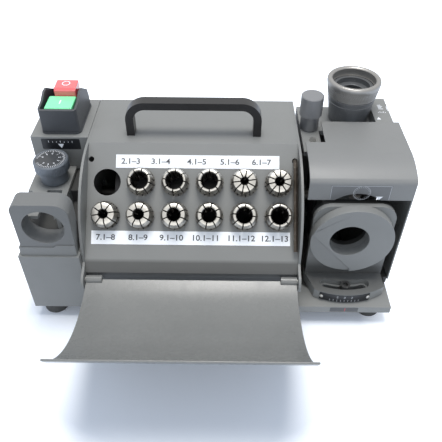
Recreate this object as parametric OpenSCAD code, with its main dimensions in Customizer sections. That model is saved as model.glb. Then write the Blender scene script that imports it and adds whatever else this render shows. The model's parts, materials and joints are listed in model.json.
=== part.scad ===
// Bench drill bit sharpener: collet rack, point-grinding port and web-thinning port.
// Millimetres. +Z up, +Y to the back, origin under the middle of the whole machine.

/* [Middle body] */
// Inner width between the two side plates
mid_w = 156.8; // [150:0.1:170]
// Height of the flat top above the table
body_top = 120; // [116:1:128]
// Depth of the flat top
top_d = 63; // [60:1:72]
// Slope of the collet panel, in degrees from level
panel_tilt = 42.2; // [40:0.1:44]
// Length of the collet panel down its slope
panel_len = 86.2; // [84:0.1:90]
// Thickness of the folded cover sheet
sheet = 1.5; // [1:0.1:2]
// Thickness of each side plate
cheek_t = 1.8; // [1.5:0.1:2.2]
// Radius of the curved front of the side plates
cheek_r = 64; // [60:1:66]

/* [Collet rack] */
// Number of collet columns
columns = 6; // [4:1:6]
// Room between a side plate and the end collets
rack_margin = 4.15; // [4.1:0.05:6]
// Distance from the top edge of the panel down to the upper row
row_first = 30.2; // [30:0.1:32]
// Distance between the two rows
row_pitch = 24.95; // [24:0.05:26]
// Diameter of the collet holes in the panel
rack_hole_d = 20.2; // [20:0.1:20.4]
// Largest diameter of a collet
collet_d = 21; // [21:0.1:21.4]
// Length of a collet
collet_len = 31.5; // [28:0.1:34]
// Half angle of the collet's taper
collet_taper = 8; // [7:0.5:9]
// Bores of the upper collets, left to right
upper_bores = [13, 13, 12.5, 6, 7];
// Bores of the lower collets, left to right
lower_bores = [7, 8, 10, 11, 12, 13];
// Size across the flats of the hex key
key_af = 3; // [2.5:0.5:3]
// Length of the hex key's long leg
key_leg = 68; // [55:1:70]

/* [Front tray] */
// Thickness of the tray sheet
tray_t = 1.2; // [1:0.1:1.5]
// Bulge of the tray below its straight chord
tray_sag = 20; // [19.5:0.5:23]
// Direction of the open tray, in degrees from the back
tray_open = 156.5; // [150:0.5:160]
// Diameter of the tray hinge pins
hinge_pin_d = 4; // [3:0.5:4.5]
// Radial clearance of running fits
running = 0.05; // [0.02:0.01:0.1]

/* [Handle] */
// Distance between the two handle screws
handle_span = 96; // [80:1:110]
// Height of the handle above the top
handle_h = 28; // [24:0.5:36]
// Front-to-back depth of the handle bar
handle_d = 9.5; // [7:0.5:10]

/* [Left station] */
// Width of the left boxes
left_w = 44.1; // [42:0.1:50]
// Height of the left lower box above the table
left_low_h = 68.3; // [66:0.1:69]
// Thickness of the web port block
web_block_d = 14.3; // [13:0.1:18]
// Bore of both drill chuck ports
port_bore = 29; // [28:0.5:31]
// Height of the web port's axis above the table
web_port_z = 95; // [94:0.5:96]
// Diameter of the web dial
web_dial_d = 26; // [24:0.5:28]

/* [Right station] */
// Width of the right hood
right_w = 75.7; // [75:0.1:84]
// Height of the hood above the table
hood_top = 124; // [122:0.5:128]
// Thickness of the hood sheet
hood_t = 1.2; // [1:0.1:1.5]
// Radius of the angle table's curved front
table_r = 55; // [54:0.5:56]
// Thickness of the angle table
table_t = 9; // [8:0.5:9]
// Diameter of the port disc
disc_d = 62; // [58:1:63]
// Height of the point port's axis above the table
point_port_z = 70.5; // [69:0.5:72]

/* [Grinding drive] */
// Height of the motor shaft above the table
shaft_z = 56; // [56:0.5:57]
// Diameter of the motor shaft
shaft_d = 12; // [10:1:12]
// Diameter of the motor housing
motor_d = 66; // [60:1:66]
// Diameter of the point-grinding wheel
point_wheel_d = 78; // [74:1:78]
// Diameter of the web-thinning wheel
web_wheel_d = 70; // [66:1:70]

/* [Chuck and feet] */
// Outer diameter of the drill chuck's ring
chuck_d = 41.5; // [40:0.5:44]
// Height of the rubber feet
foot_h = 12; // [10:1:14]
// Diameter of the rubber feet
foot_d = 21; // [18:1:22]

/* [Hidden] */
$fn = 96;
cut = 1;                          // how far a cutter runs past the face that it opens
air = 0.3;                        // gap between pieces that only stand side by side
lap = 0.1;                        // how far joined solids run into each other
square_corner = 0.01;             // radius of a corner left square

body_grey = [0.52, 0.52, 0.50];
dark_grey = [0.24, 0.25, 0.27];
steel = [0.72, 0.72, 0.70];
black = [0.06, 0.06, 0.07];

// Levels
plate_t = 2;
base_z = foot_h;
floor_z = base_z + plate_t;       // top of the base plate
slab_t = 6.5;
slab_z = base_z + slab_t;         // top of the right base

// Middle body outline, in Y and Z
mid_l = -mid_w / 2;
mid_r = mid_w / 2;
fold_y = -panel_len * cos(panel_tilt);
fold_z = body_top - panel_len * sin(panel_tilt);
hinge_y = fold_y - 9.2;
hinge_z = fold_z - 13.9;
front_y = hinge_y + 5.1;          // lower front of the cover, behind the hinge
front_break = 2.2;                // how far below the hinge the front band turns straight down
nose_y = 6.3;                     // short slope under the fold: how far it runs out
nose_z = 9.5;                     // and how far it drops
cheek_cy = -2;
lug_r = 7.5;
lug_rise = 4;                     // where the lug's web meets the side plate, above the lug
lug_foot = 6;                     // and below the lug
curl_r = 3.2;
curl_len = 12;                    // length of the rolled knuckle at each end of the tray

// Tray: an arc from the hinge to a lip that closes just over the front edge of the top
tray_w = mid_w - 1;
lip_up = 2.3;
lip_past = 1.2;
tray_reach = [lip_past - hinge_y, body_top + lip_up - hinge_z];
tray_chord = norm(tray_reach);
tray_r = (tray_chord * tray_chord / 4 + tray_sag * tray_sag) / (2 * tray_sag);
tray_half = asin(tray_chord / 2 / tray_r);
chord_dir = [cos(tray_open), sin(tray_open)];
bulge_dir = [-sin(tray_open), cos(tray_open)];
tray_centre = [hinge_y, hinge_z] + chord_dir * tray_chord / 2 - bulge_dir * (tray_r - tray_sag);
lip_pos = [hinge_y, hinge_z] + chord_dir * tray_chord;
pin_len = 11;                     // reach of each hinge pin inside its side plate

// Rack
column_pitch = (mid_w - 2 * rack_margin - collet_d) / (columns - 1);
row_second = row_first + row_pitch;
key_x = mid_r - rack_margin + air + key_af / 2;
key_s = 12.9;
key_hole_d = key_af * 1.4;
key_clear = 4.5;
key_bend = 6;
key_short = 18;
key_lap = 0.02;                   // how far its legs run into the bend
label_t = 0.3;
label_h = 10;
label_up = 10.9;                  // from the upper row up to its label
label_down = 21.3;                // from the lower row down to the far edge of its label
upper_label_x = 20.9;
lower_label_x = 4.2;
ring_seat = 3;                    // how far the largest diameter stands above the panel
collet_head = 12.2;               // how far the collet's face stands above the panel
collet_play = 0.08;               // radial gap of a collet at the panel's face
face_part = 0.38;                 // radius of a collet's face, as a part of its diameter
nose_len = 4.6;                   // length of the cone at its face
band_len = 1.4;                   // length of the band behind the cone
band_in = 0.75;                   // how much smaller in radius the band is than the collet
groove_t = 1.8;                   // depth of its ring groove
collet_slots = 8;                 // slots cut from the collet's face
slot_t = 0.6;
slot_end = 6;                     // length of collet left whole at its tail
tail_bore = 9.5;

// Handle
handle_bar = 5.8;
handle_foot = 6;
handle_corner = 15;
handle_y = 14;
handle_screw_len = 12;
screw_d = 4;
m3 = 3;
hole_m3 = 3.4;
screw_head_d = 7.5;
screw_head_t = 2.5;
screw_fit = 0.05;
screw_pass = 0.2;                 // clearance of a screw that only passes through

// Left station
shaft_y = 18;
left_r = mid_l - cheek_t - air;
left_l = left_r - left_w;
left_front = front_y - 2.1;
wall = 2;
web_x = left_l + 23.6;
port_plate_z = left_low_h + 10.2;
port_front = left_front + 2;
web_block_top = web_port_z + 20.4;
block_l = left_l + 3.6;
block_r = left_r - 1;
block_back = port_front + web_block_d;
step_x = block_l + 0.6 * (block_r - block_l);
step_h = 2;
upper_front = 6.5;
saddle_z = web_port_z - 2;
saddle_t = 3;
saddle_l = block_l - 2.5;
saddle_r = block_l + 27.5;
boss_d = 16;
dial_x = web_x - 5.5;
dial_y = -10.4;
neck_d = 21;
spindle_d = 8;
spindle_drop = 8;                 // how far the spindle hangs below the saddle's top
shoulder_d = 12;
shoulder_t = 2.2;
stop_pin_d = 5;
stop_show = 1;                    // how far the stop pin shows below its spindle
dial_low = saddle_z + air;
dial_rim_z = dial_low + 10;
dial_top = dial_rim_z + 8.7;
dial_cap = 3.5;                   // solid thickness left at the dial's top
rear_web_y = shaft_y - 42;        // front of what stands beside the web wheel
rib_y = -20.2;
rib_h = 11;

// Switch, on the left upper box
switch_x = left_l + 23.1;
switch_w = 29;
switch_wall = 1.8;                // thickness of the frame's side walls
switch_y = 11.5;
switch_d = 44;
switch_lean = 1.5;                // how far the frame's front leans out at its rim
switch_rim = 20.5;                // height of the rim at the front
switch_body_d = 15;               // how far the switch's body reaches below the box's top
pocket_w = switch_w - 2 * switch_wall;
pocket_y = switch_y + 2;          // front of the pocket at its floor
pocket_back = 48;
button_gap = 0.4;
start_w = 20.8;
start_y = 14.2;
start_back = 32.6;
stop_w = 17;
stop_x = left_l + 25;
stop_back = 46.7;
button_drop = 3.4;
switch_floor = body_top + 4;
start_top = body_top + 20.2;
stop_top = body_top + 26;

// Shaft, motor and wheels
motor_half = 55;
motor_wall = 2.5;
cradle_half = 48;
cradle_t = 3;
saddle_w = 12;                    // width of each of the cradle's saddles
core_half = 30;                   // half length of the stator's and the rotor's cores
core_gap = 0.5;                   // air gap between the cores
winding_half = 42;
winding_d = 52;
core_bore = 34;
fan_d = 54;
fan_hub_d = 22;
fan_x = motor_half + 11;
fan_t = 2;
fan_len = 8;
fan_blades = 9;
blade_t = 1.6;
capacitor_d = 32;
capacitor_half = 30;
capacitor_y = -44;
cap_t = 8;
bearing_d = 28;
bearing_t = 8;
point_l = mid_r + 21.6;
point_flat = 4;
point_web = 10;                   // thickness of the point wheel at its hub
point_cone = 20;
point_small_r = point_wheel_d / 2 - 12;
web_wheel_t = 12;
flange_d = 30;
flange_t = 3.5;
nut_af = 16;
nut_t = 7.5;
seat = 0.02;                      // gap that keeps clamped pieces separate solids
web_slot = web_wheel_t / 2 + flange_t + 1;
shaft_hole_d = 24;

// Right station
right_l = mid_r + cheek_t + 3.2;
right_r = right_l + right_w;
tongue_r = right_r - 4.9;
tongue_front = -72.7;
hood_front = -41;
hood_low = 100.1;
hood_back = 25.8;
arch_d = 51.4;                    // round cutout over the point port
bend_small = 5;
bend_large = 50;
bend_break = 28;                  // angle at which the large bend meets the small one
port_x = right_l + 33;
pivot_x = port_x + 2.8;
pivot_y = -13.4;
pivot_d = 6;
pivot_boss_r = 8;
table_gap = 0.2;                  // gap between the angle table and the base it turns on
table_z = slab_z + table_gap;
table_top = table_z + table_t;
tongue_top = table_z + 3.5;       // top of the thin tongue that reaches back to the pivot
tongue_w = 16;
table_l = right_l + 5.6;
table_right = right_l + 66;
slot_r = 45.2;
slot_w = 5.6;
slot_half = 19;
slot_step = 0.05;                 // how much narrower the slot's round ends are
ledge_w = 8.8;
ledge_t = 4;
stud_d = 5;                       // lock screw of the angle table
washer_d = 8.4;
washer_t = 1.2;
lock_head_d = 7.6;
lock_head_t = 5;
lock_hex = 4;
bracket_front = -45.5;
bracket_t = 8;
bracket_top = 98;
disc_front = bracket_front - 7.5;
disc_x = port_x + 2.4;
disc_z = point_port_z - 1.5;

// Chuck station
station_y = hood_back + 0.6;
station_top = 115;
station_t = 4;
notch_x = right_l + 14.8;
notch_y = -2.5;
chuck_x = right_l + 40.4;
chuck_y = 47;
socket_d = 36;
socket_len = 18;
barrel_len = 20;
chuck_fit = 0.05;
ring_taper = 1.7;                 // how much narrower the ring's radius is at its lower edge
sleeve_in = 2;                    // how much smaller in radius the sleeve is than the ring
sleeve_foot = 3;
sleeve_h = 21.6;
neck_in = 4.8;                    // the same of the threaded neck
neck_h = 28.8;
ring_lip = 4.05;
ring_top = 35.5;
chuck_bore = 17;
chuck_seat_d = 26;
knob_x = right_l + 7;
knob_y = 31;
knob_neck_d = 14.5;
knob_neck_h = 12;
knob_d = 17.4;
knob_h = 29;
knob_stem_d = 8;
notch_screw = [right_l + 8, 12.5];
index_l = right_l + 57.9;
index_r = right_l + 71.9;
index_h = 8.4;

// Rear
inlet_x = -45;
inlet_z = 30;
inlet_depth = 15;
inlet_w = 27;
inlet_h = 20;
inlet_flange = 3;
inlet_flange_t = 2.5;
inlet_wall = 1.5;
inlet_pins = [[-7, -1.5], [0, 1.5], [7, -1.5]];
louvres = 8;
louvre_x = 4;
louvre_z = 34;
louvre_w = 3;
louvre_h = 44;
louvre_pitch = 7;
panel_screw_in = 7;

// Bounding box of the machine, tray open
shift_x = (left_l + right_r) / 2;
lip_front = lip_pos[0] + tray_t / 2 * dir(tray_open + 90 - tray_half)[0];
shift_y = (lip_front + chuck_y + chuck_d / 2) / 2;

function dir(a) = [cos(a), sin(a)];
function unit(v) = v / norm(v);
function left_of(v) = [-v[1], v[0]];
function along(p, i) = unit(p[i + 1] - p[i]);
function mitre(p, i, t) =
    let(a = along(p, max(i - 1, 0)), b = along(p, min(i, len(p) - 2)))
    p[i] + (left_of(a) + left_of(b)) * t / (1 + a * b);

// Moves a machine-centred piece to the origin under the middle of its box
module place() {
    translate([-shift_x, -shift_y, 0]) children();
}

// Extrudes a (Y, Z) outline along X
module along_x(x0, x1) {
    translate([x0, 0, 0]) rotate([90, 0, 90]) linear_extrude(x1 - x0) children();
}

// Extrudes an (X, Z) outline along Y
module along_y(y0, y1) {
    translate([0, y1, 0]) rotate([90, 0, 0]) linear_extrude(y1 - y0) children();
}

// Extrudes an (X, Y) outline along Z
module along_z(z0, z1) {
    translate([0, 0, z0]) linear_extrude(z1 - z0) children();
}

module block(low, high) {
    translate(low) cube(high - low);
}

module rod_x(x0, x1, y, z, d) {
    translate([x0, y, z]) rotate([0, 90, 0]) cylinder(h = x1 - x0, d = d);
}

module rod_y(y0, y1, x, z, d) {
    translate([x, y1, z]) rotate([90, 0, 0]) cylinder(h = y1 - y0, d = d);
}

module rod_z(z0, z1, x, y, d) {
    translate([x, y, z0]) cylinder(h = z1 - z0, d = d);
}

// Sheet of thickness t folded along the points p, the thickness to the left of the way
module folded(p, t) {
    last = len(p) - 1;
    polygon(concat(p, [for (i = [last:-1:0]) mitre(p, i, t)]));
}

// Part of a ring between two radii and two angles less than 180 degrees apart
module arc_band(r_in, r_out, a0, a1) {
    far = 2 * r_out;
    intersection() {
        difference() {
            circle(r_out);
            circle(r_in);
        }
        polygon([
            [0, 0], far * dir(a0), far * dir((2 * a0 + a1) / 3), far * dir((a0 + 2 * a1) / 3), far * dir(a1)
        ]);
    }
}

// Removes the square corner outside a radius; the corner stands at the origin, its walls along a and a + 90
module corner_cut(r, a) {
    rotate(a) difference() {
        translate([-cut, -cut]) square(r + cut);
        translate([r, r]) circle(r);
    }
}

// Rectangle from low to high; radii are bottom left, bottom right, top right, top left
module rounded_box2d(low, high, radii) {
    difference() {
        translate(low) square(high - low);
        translate(low) corner_cut(radii[0], 0);
        translate([high[0], low[1]]) corner_cut(radii[1], 90);
        translate(high) corner_cut(radii[2], 180);
        translate([low[0], high[1]]) corner_cut(radii[3], 270);
    }
}

// Local frame on the collet panel: Y up the slope, Z straight out of it
module on_panel(x, s) {
    translate([x, -s * cos(panel_tilt), body_top - s * sin(panel_tilt)])
        rotate([panel_tilt, 0, 0]) children();
}

function column_x(k) = (k - (columns - 1) / 2) * column_pitch;

foot_places = [
    for (x = [left_l + 12.6, tongue_r - 13.2], y = [front_y + 10, top_d - 11]) [x, y]
];

/* Frame and covers */

module base_plate() color(dark_grey) place() difference() {
    block([left_l + wall + 0.2, front_y + 0.1, base_z], [tongue_r - 4.2, top_d - 2.2, floor_z]);
    for (p = foot_places) rod_z(base_z - cut, floor_z + cut, p[0], p[1], screw_d + 2 * screw_fit);
}

module right_base() color(body_grey) place() difference() {
    union() {
        block([right_l - 0.6, tongue_front, base_z], [tongue_r, hood_front, slab_z]);
        block([right_l - 0.6, hood_front, base_z], [right_r - 1.5, top_d, slab_z]);
    }
    block([right_l - 0.6 - cut, front_y, base_z - cut], [tongue_r - 4.1, top_d - 2.1, floor_z]);
    block([point_l - 3, shaft_y - 20, base_z], [point_l + point_cone + 7, shaft_y + 20, slab_z + cut]);
    rod_z(floor_z, slab_z + cut, pivot_x, pivot_y, pivot_d + 2 * screw_fit);
    rod_z(floor_z, slab_z + cut, pivot_x, pivot_y - slot_r, stud_d + 2 * screw_fit);
    for (p = foot_places) rod_z(base_z - cut, slab_z + cut, p[0], p[1], screw_d + 2 * screw_fit);
}

module rubber_feet() color(black) place() for (p = foot_places) translate([p[0], p[1], 0]) difference() {
    cylinder(h = foot_h, d1 = foot_d - 2, d2 = foot_d);
    translate([0, 0, -cut]) cylinder(h = foot_h + 2 * cut, d = screw_d + 2 * screw_pass);
    translate([0, 0, -cut]) cylinder(h = foot_h / 2 + cut, d = screw_head_d + 1);
}

module foot_screws() color(steel) place() for (p = foot_places) {
    rod_z(foot_h / 2 - screw_head_t, foot_h / 2, p[0], p[1], screw_head_d);
    rod_z(foot_h / 2 - lap, slab_z - 0.5, p[0], p[1], screw_d);
}

cover_path = [
    [top_d, body_top], [0, body_top], [fold_y, fold_z], [fold_y - nose_y, fold_z - nose_z],
    [front_y, hinge_z - front_break], [front_y, floor_z]
];

module mid_cover() color(body_grey) place() difference() {
    along_x(mid_l, mid_r) folded(cover_path, sheet);
    for (k = [0:columns - 1], s = [row_first, row_second])
        on_panel(column_x(k), s) translate([0, 0, -sheet - cut])
            cylinder(h = sheet + 2 * cut, d = rack_hole_d);
    for (x = [-key_x, key_x])
        on_panel(x, key_s) translate([0, 0, -sheet - cut]) cylinder(h = sheet + 2 * cut, d = key_hole_d);
    for (side = [-1, 1])
        rod_z(body_top - sheet - cut, body_top + cut, side * handle_span / 2, handle_y, hole_m3);
}

// Side plate with its hinge lug
module cheek(x0) {
    x1 = x0 + cheek_t;
    difference() {
        union() {
            along_x(x0, x1) rounded_box2d(
                [cheek_cy - cheek_r, floor_z], [top_d, body_top],
                [square_corner, square_corner, square_corner, cheek_r]
            );
            rod_x(x0, x1, hinge_y, hinge_z, 2 * lug_r);
            along_x(x0, x1) lug_web();
        }
        rod_x(x0 - cut, x1 + cut, shaft_y, shaft_z, shaft_hole_d);
        rod_x(x0 - cut, x1 + cut, hinge_y, hinge_z, hinge_pin_d + 2 * screw_fit);
    }
}

// Joins the hinge lug to the side plate
module lug_web() {
    inner = lug_r - lap;
    back = cheek_cy - cheek_r + cut;
    polygon([
        [hinge_y, hinge_z + inner], [back, hinge_z + lug_r + lug_rise], [back, floor_z], [front_y, floor_z],
        [front_y, hinge_z - lug_r - lug_foot], [hinge_y - inner * 0.6, hinge_z - inner * 0.8]
    ]);
}

module cheek_left() color(body_grey) place() cheek(mid_l - cheek_t);

module cheek_right() color(body_grey) place() cheek(mid_r);

module rear_panel() color(dark_grey) place() difference() {
    block([mid_l, top_d - sheet, floor_z], [mid_r, top_d, body_top - sheet]);
    inlet_box(screw_pass, top_d - sheet - cut, top_d + cut);
    for (i = [0:louvres - 1])
        block([louvre_x + i * louvre_pitch, top_d - sheet - cut, louvre_z],
              [louvre_x + i * louvre_pitch + louvre_w, top_d + cut, louvre_z + louvre_h]);
    for (p = panel_screw_places) rod_y(top_d - sheet - cut, top_d + cut, p[0], p[1], hole_m3);
}

panel_screw_places = [
    for (x = [mid_l + panel_screw_in, 0, mid_r - panel_screw_in], z = [floor_z + 6, body_top - 10]) [x, z]
];

module panel_screws() color(steel) place() {
    for (p = panel_screw_places) {
        rod_y(top_d + seat, top_d + 1.8, p[0], p[1], 6);
        rod_y(top_d - sheet - 5, top_d + lap, p[0], p[1], m3);
    }
    rod_z(station_top + seat, station_top + 1.4, notch_screw[0], notch_screw[1], 5);
    rod_z(station_top - station_t - 3, station_top + lap, notch_screw[0], notch_screw[1], m3);
}

// Box centred on the inlet, wider than it by 2 * more, between two depths
module inlet_box(more, y0, y1) {
    w = inlet_w / 2 + more;
    h = inlet_h / 2 + more;
    block([inlet_x - w, y0, inlet_z - h], [inlet_x + w, y1, inlet_z + h]);
}

module power_inlet() color(black) place() difference() {
    union() {
        inlet_box(0, top_d - inlet_depth, top_d + 0.5);
        inlet_box(inlet_flange, top_d, top_d + inlet_flange_t);
    }
    difference() {
        inlet_box(-inlet_wall, top_d - inlet_depth + 2, top_d + inlet_flange_t + cut);
        for (pin = inlet_pins)
            block([inlet_x + pin[0] - 1, top_d - inlet_depth + 2 - cut, inlet_z + pin[1] - 2],
                  [inlet_x + pin[0] + 1, top_d + 0.5, inlet_z + pin[1] + 2]);
    }
}

/* Tray, handle, labels, key */

module front_tray() color(body_grey) place() difference() {
    union() {
        along_x(-tray_w / 2, tray_w / 2) translate(tray_centre) arc_band(
            tray_r - tray_t / 2, tray_r + tray_t / 2, tray_open + 90 - tray_half, tray_open + 90 + tray_half
        );
        rod_x(-tray_w / 2, curl_len - tray_w / 2, hinge_y, hinge_z, 2 * curl_r);
        rod_x(tray_w / 2 - curl_len, tray_w / 2, hinge_y, hinge_z, 2 * curl_r);
    }
    rod_x(-tray_w / 2 - cut, curl_len - tray_w / 2, hinge_y, hinge_z, hinge_pin_d + 2 * running);
    rod_x(tray_w / 2 - curl_len, tray_w / 2 + cut, hinge_y, hinge_z, hinge_pin_d + 2 * running);
}

module tray_hinge_pins() color(steel) place() {
    rod_x(mid_l - cheek_t, mid_l + pin_len, hinge_y, hinge_z, hinge_pin_d);
    rod_x(mid_r - pin_len, mid_r + cheek_t, hinge_y, hinge_z, hinge_pin_d);
}

module carry_handle() color(black) place() difference() {
    outside = (handle_span + handle_foot) / 2;
    inside = (handle_span - handle_foot) / 2;
    bend = handle_corner - handle_bar;
    along_y(handle_y - handle_d / 2, handle_y + handle_d / 2) difference() {
        rounded_box2d(
            [-outside, body_top], [outside, body_top + handle_h],
            [square_corner, square_corner, handle_corner, handle_corner]
        );
        rounded_box2d(
            [-inside, body_top - cut], [inside, body_top + handle_h - handle_bar],
            [square_corner, square_corner, bend, bend]
        );
    }
    for (side = [-1, 1]) rod_z(
        body_top - cut, body_top + handle_screw_len + 1, side * handle_span / 2, handle_y, m3 + 2 * screw_fit
    );
}

module handle_screws() color(steel) place() for (side = [-1, 1]) {
    x = side * handle_span / 2;
    rod_z(body_top - sheet - screw_head_t, body_top - sheet, x, handle_y, screw_head_d);
    rod_z(body_top - sheet - lap, body_top + handle_screw_len, x, handle_y, m3);
}

module size_labels() color("white") place() {
    on_panel(0, 0) {
        translate([mid_l + upper_label_x, label_up - row_first, seat]) cube([mid_w - 34.8, label_h, label_t]);
        translate([mid_l + lower_label_x, -row_second - label_down, seat])
            cube([mid_w - 10.2, label_h, label_t]);
    }
}

// L-shaped key: the short leg stands in its hole, the long leg lies down the panel
module hex_key() color(dark_grey) place() on_panel(key_x, key_s) {
    d = key_af / cos(30);
    translate([0, 0, -key_short]) rotate(30)
        cylinder(h = key_short + key_clear - key_bend + key_lap, d = d, $fn = 6);
    translate([0, -key_bend, key_clear - key_bend]) rotate([90, 0, 90])
        rotate_extrude(angle = 90) translate([key_bend, 0]) circle(d = d, $fn = 6);
    translate([0, key_lap - key_bend, key_clear]) rotate([90, 30, 0])
        cylinder(h = key_leg - key_bend + key_lap, d = d, $fn = 6);
}

/* Collets */

// Spring collet with its axis along Z and the panel's face at zero
module collet(bore) color(steel) {
    seat_d = rack_hole_d - 2 * collet_play;
    top_taper_d = seat_d + 2 * ring_seat * tan(collet_taper);
    tail = collet_len - collet_head;
    difference() {
        rotate_extrude() polygon([
            [0, collet_head], [collet_d * face_part, collet_head],
            [collet_d / 2 - band_in, collet_head - nose_len],
            [collet_d / 2 - band_in, collet_head - nose_len - band_len],
            [collet_d / 2 - groove_t, collet_head - nose_len - band_len],
            [collet_d / 2 - groove_t, ring_seat], [top_taper_d / 2, ring_seat],
            [seat_d / 2 - tail * tan(collet_taper), -tail], [0, -tail]
        ]);
        translate([0, 0, -tail - cut]) cylinder(h = collet_len + 2 * cut, d = bore);
        translate([0, 0, -tail - cut]) cylinder(h = tail / 2 + cut, d = max(bore, tail_bore));
        for (i = [0:collet_slots / 2 - 1]) rotate(i * 360 / collet_slots)
            block([-collet_d, -slot_t / 2, slot_end - tail], [collet_d, slot_t / 2, collet_head + cut]);
    }
}

module rack_collet(row, k, bore) place() on_panel(column_x(k), row) collet(bore);

module collet_upper(i) rack_collet(row_first, i, upper_bores[i - 1]);

module collet_lower(i) rack_collet(row_second, i - 1, lower_bores[i - 1]);

/* Left station */

module left_lower_box() color(body_grey) place() difference() {
    block([left_l, left_front, base_z], [left_r, top_d, left_low_h]);
    block([left_l + wall, left_front + wall, base_z - cut], [left_r - wall, top_d - wall, left_low_h - wall]);
    block(
        [left_r - wall - cut, left_front + wall, base_z - cut], [left_r + cut, top_d - wall, floor_z + 0.1]
    );
    block([web_x - web_slot, shaft_y - web_wheel_d / 2 - 3, left_low_h - wall - cut],
          [web_x + web_slot, shaft_y + web_wheel_d / 2 + 3, left_low_h + cut]);
    rod_x(left_r - wall - cut, left_r + cut, shaft_y, shaft_z, shaft_hole_d);
}

// Outline of the seam between port plate and port block, lower on its left
module seam_cut(top) {
    polygon([
        [left_l - cut, port_plate_z - step_h], [step_x, port_plate_z - step_h],
        [step_x + step_h, port_plate_z], [left_r + cut, port_plate_z],
        [left_r + cut, top], [left_l - cut, top]
    ]);
}

module web_port_plate() color(body_grey) place() {
    along_y(port_front - 0.5, block_back) difference() {
        translate([left_l + 2.3, left_low_h]) square([left_w - 3.8, port_plate_z - left_low_h]);
        seam_cut(web_block_top);
    }
    block([left_l + 2.3, block_back, left_low_h], [left_r - 1.5, rear_web_y, port_plate_z]);
    block([left_r - 12, rear_web_y - lap, left_low_h], [left_r - 1.5, upper_front - air, port_plate_z]);
    block([saddle_r + air, rib_y, port_plate_z - lap], [left_r - 4, upper_front - air, port_plate_z + rib_h]);
}

module web_port_block() color(body_grey) place() difference() {
    along_y(port_front, block_back) intersection() {
        rounded_box2d(
            [block_l, left_low_h], [block_r, web_block_top], [square_corner, square_corner, 9.5, 6]
        );
        seam_cut(web_block_top + cut);
    }
    rod_y(port_front - cut, block_back + cut, web_x, web_port_z, port_bore);
}

module web_saddle() color(body_grey) place() difference() {
    union() {
        block([saddle_l, block_back + air, saddle_z - saddle_t], [saddle_r, upper_front - air, saddle_z]);
        block([saddle_r - 3, block_back + air, port_plate_z], [saddle_r, rear_web_y, saddle_z - lap]);
        rod_z(saddle_z - saddle_t - 2, saddle_z - lap, dial_x, dial_y, boss_d);
    }
    block([saddle_l - cut, block_back, saddle_z - saddle_t - cut], [block_l + 1, -25.5, saddle_z + cut]);
    block([web_x - 8, block_back, saddle_z - saddle_t - cut], [saddle_r - 4.5, -24, saddle_z + cut]);
    rod_z(saddle_z - spindle_drop, saddle_z + cut, dial_x, dial_y, spindle_d + 2 * running);
}

module web_dial() color(dark_grey) place() difference() {
    union() {
        rod_z(dial_low, dial_rim_z + lap, dial_x, dial_y, neck_d);
        rod_z(dial_rim_z, dial_top, dial_x, dial_y, web_dial_d);
    }
    rod_z(dial_low - cut, dial_top - dial_cap, dial_x, dial_y, spindle_d + 2 * screw_fit);
}

module dial_spindle() color(steel) place() difference() {
    union() {
        rod_z(saddle_z - spindle_drop, dial_top - dial_cap - 0.5, dial_x, dial_y, spindle_d);
        rod_z(saddle_z - spindle_drop, saddle_z - spindle_drop + shoulder_t, dial_x, dial_y, shoulder_d);
    }
    rod_z(saddle_z - spindle_drop - cut, dial_top - 8, dial_x, dial_y, stop_pin_d + 2 * running);
}

module web_stop_pin() color(black) place() rod_z(
    saddle_z - spindle_drop - stop_show, dial_top - 12, dial_x, dial_y, stop_pin_d
);

module left_upper_box() color(body_grey) place() difference() {
    block([left_l, upper_front, left_low_h], [left_r, top_d, body_top]);
    block(
        [left_l + wall, upper_front + wall, left_low_h - cut], [left_r - wall, top_d - wall, body_top - wall]
    );
    block([web_x - web_slot, upper_front - cut, left_low_h - cut],
          [web_x + web_slot, upper_front + wall + cut, saddle_z - saddle_t]);
    block([switch_x - pocket_w / 2, pocket_y + 2, body_top - wall - cut],
          [switch_x + pocket_w / 2, pocket_back, body_top + cut]);
}

// Side outline of the switch frame in Y and Z
switch_path = [
    [0, 0], [-switch_lean, switch_rim], [10.7, 21.5], [19.5, 25],
    [26, 24.5], [39, 16.5], [43, 6], [switch_d, 0]
];

module switch_frame() color(dark_grey) place() difference() {
    union() {
        intersection() {
            along_x(switch_x - switch_w / 2, switch_x + switch_w / 2)
                polygon([for (p = switch_path) [switch_y + p[0], body_top + p[1]]]);
            along_z(body_top, body_top + 30) rounded_box2d(
                [switch_x - switch_w / 2, switch_y - 2], [switch_x + switch_w / 2, switch_y + switch_d + 1],
                [4, 4, 4, 4]
            );
        }
        block([switch_x - pocket_w / 2 + air, pocket_y + 2.5, body_top - switch_body_d],
              [switch_x + pocket_w / 2 - air, pocket_back - air, body_top + lap]);
    }
    rise = body_top + 40 - switch_floor;
    along_x(switch_x - pocket_w / 2, switch_x + pocket_w / 2) polygon([
        [pocket_y, switch_floor], [pocket_back, switch_floor], [pocket_back, switch_floor + rise],
        [pocket_y - rise * switch_lean / switch_rim, switch_floor + rise]
    ]);
}

module start_button() color([0.45, 0.85, 0.62]) place() block(
    [switch_x - start_w / 2, start_y, switch_floor + button_drop],
    [switch_x + start_w / 2, start_back, start_top]
);

module stop_button() color([0.85, 0.25, 0.25]) place() along_x(
    stop_x - stop_w / 2, stop_x + stop_w / 2
) polygon([
    [start_back + button_gap, switch_floor + button_drop], [stop_back, switch_floor + button_drop],
    [stop_back, stop_top + 0.6], [start_back + button_gap + 1.6, stop_top],
    [start_back + button_gap, stop_top - 1.8]
]);

/* Motor and wheels */

module motor_housing() color(dark_grey) place() difference() {
    rod_x(-motor_half, motor_half, shaft_y, shaft_z, motor_d);
    rod_x(-motor_half - cut, motor_half + cut, shaft_y, shaft_z, motor_d - 2 * motor_wall);
}

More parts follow.
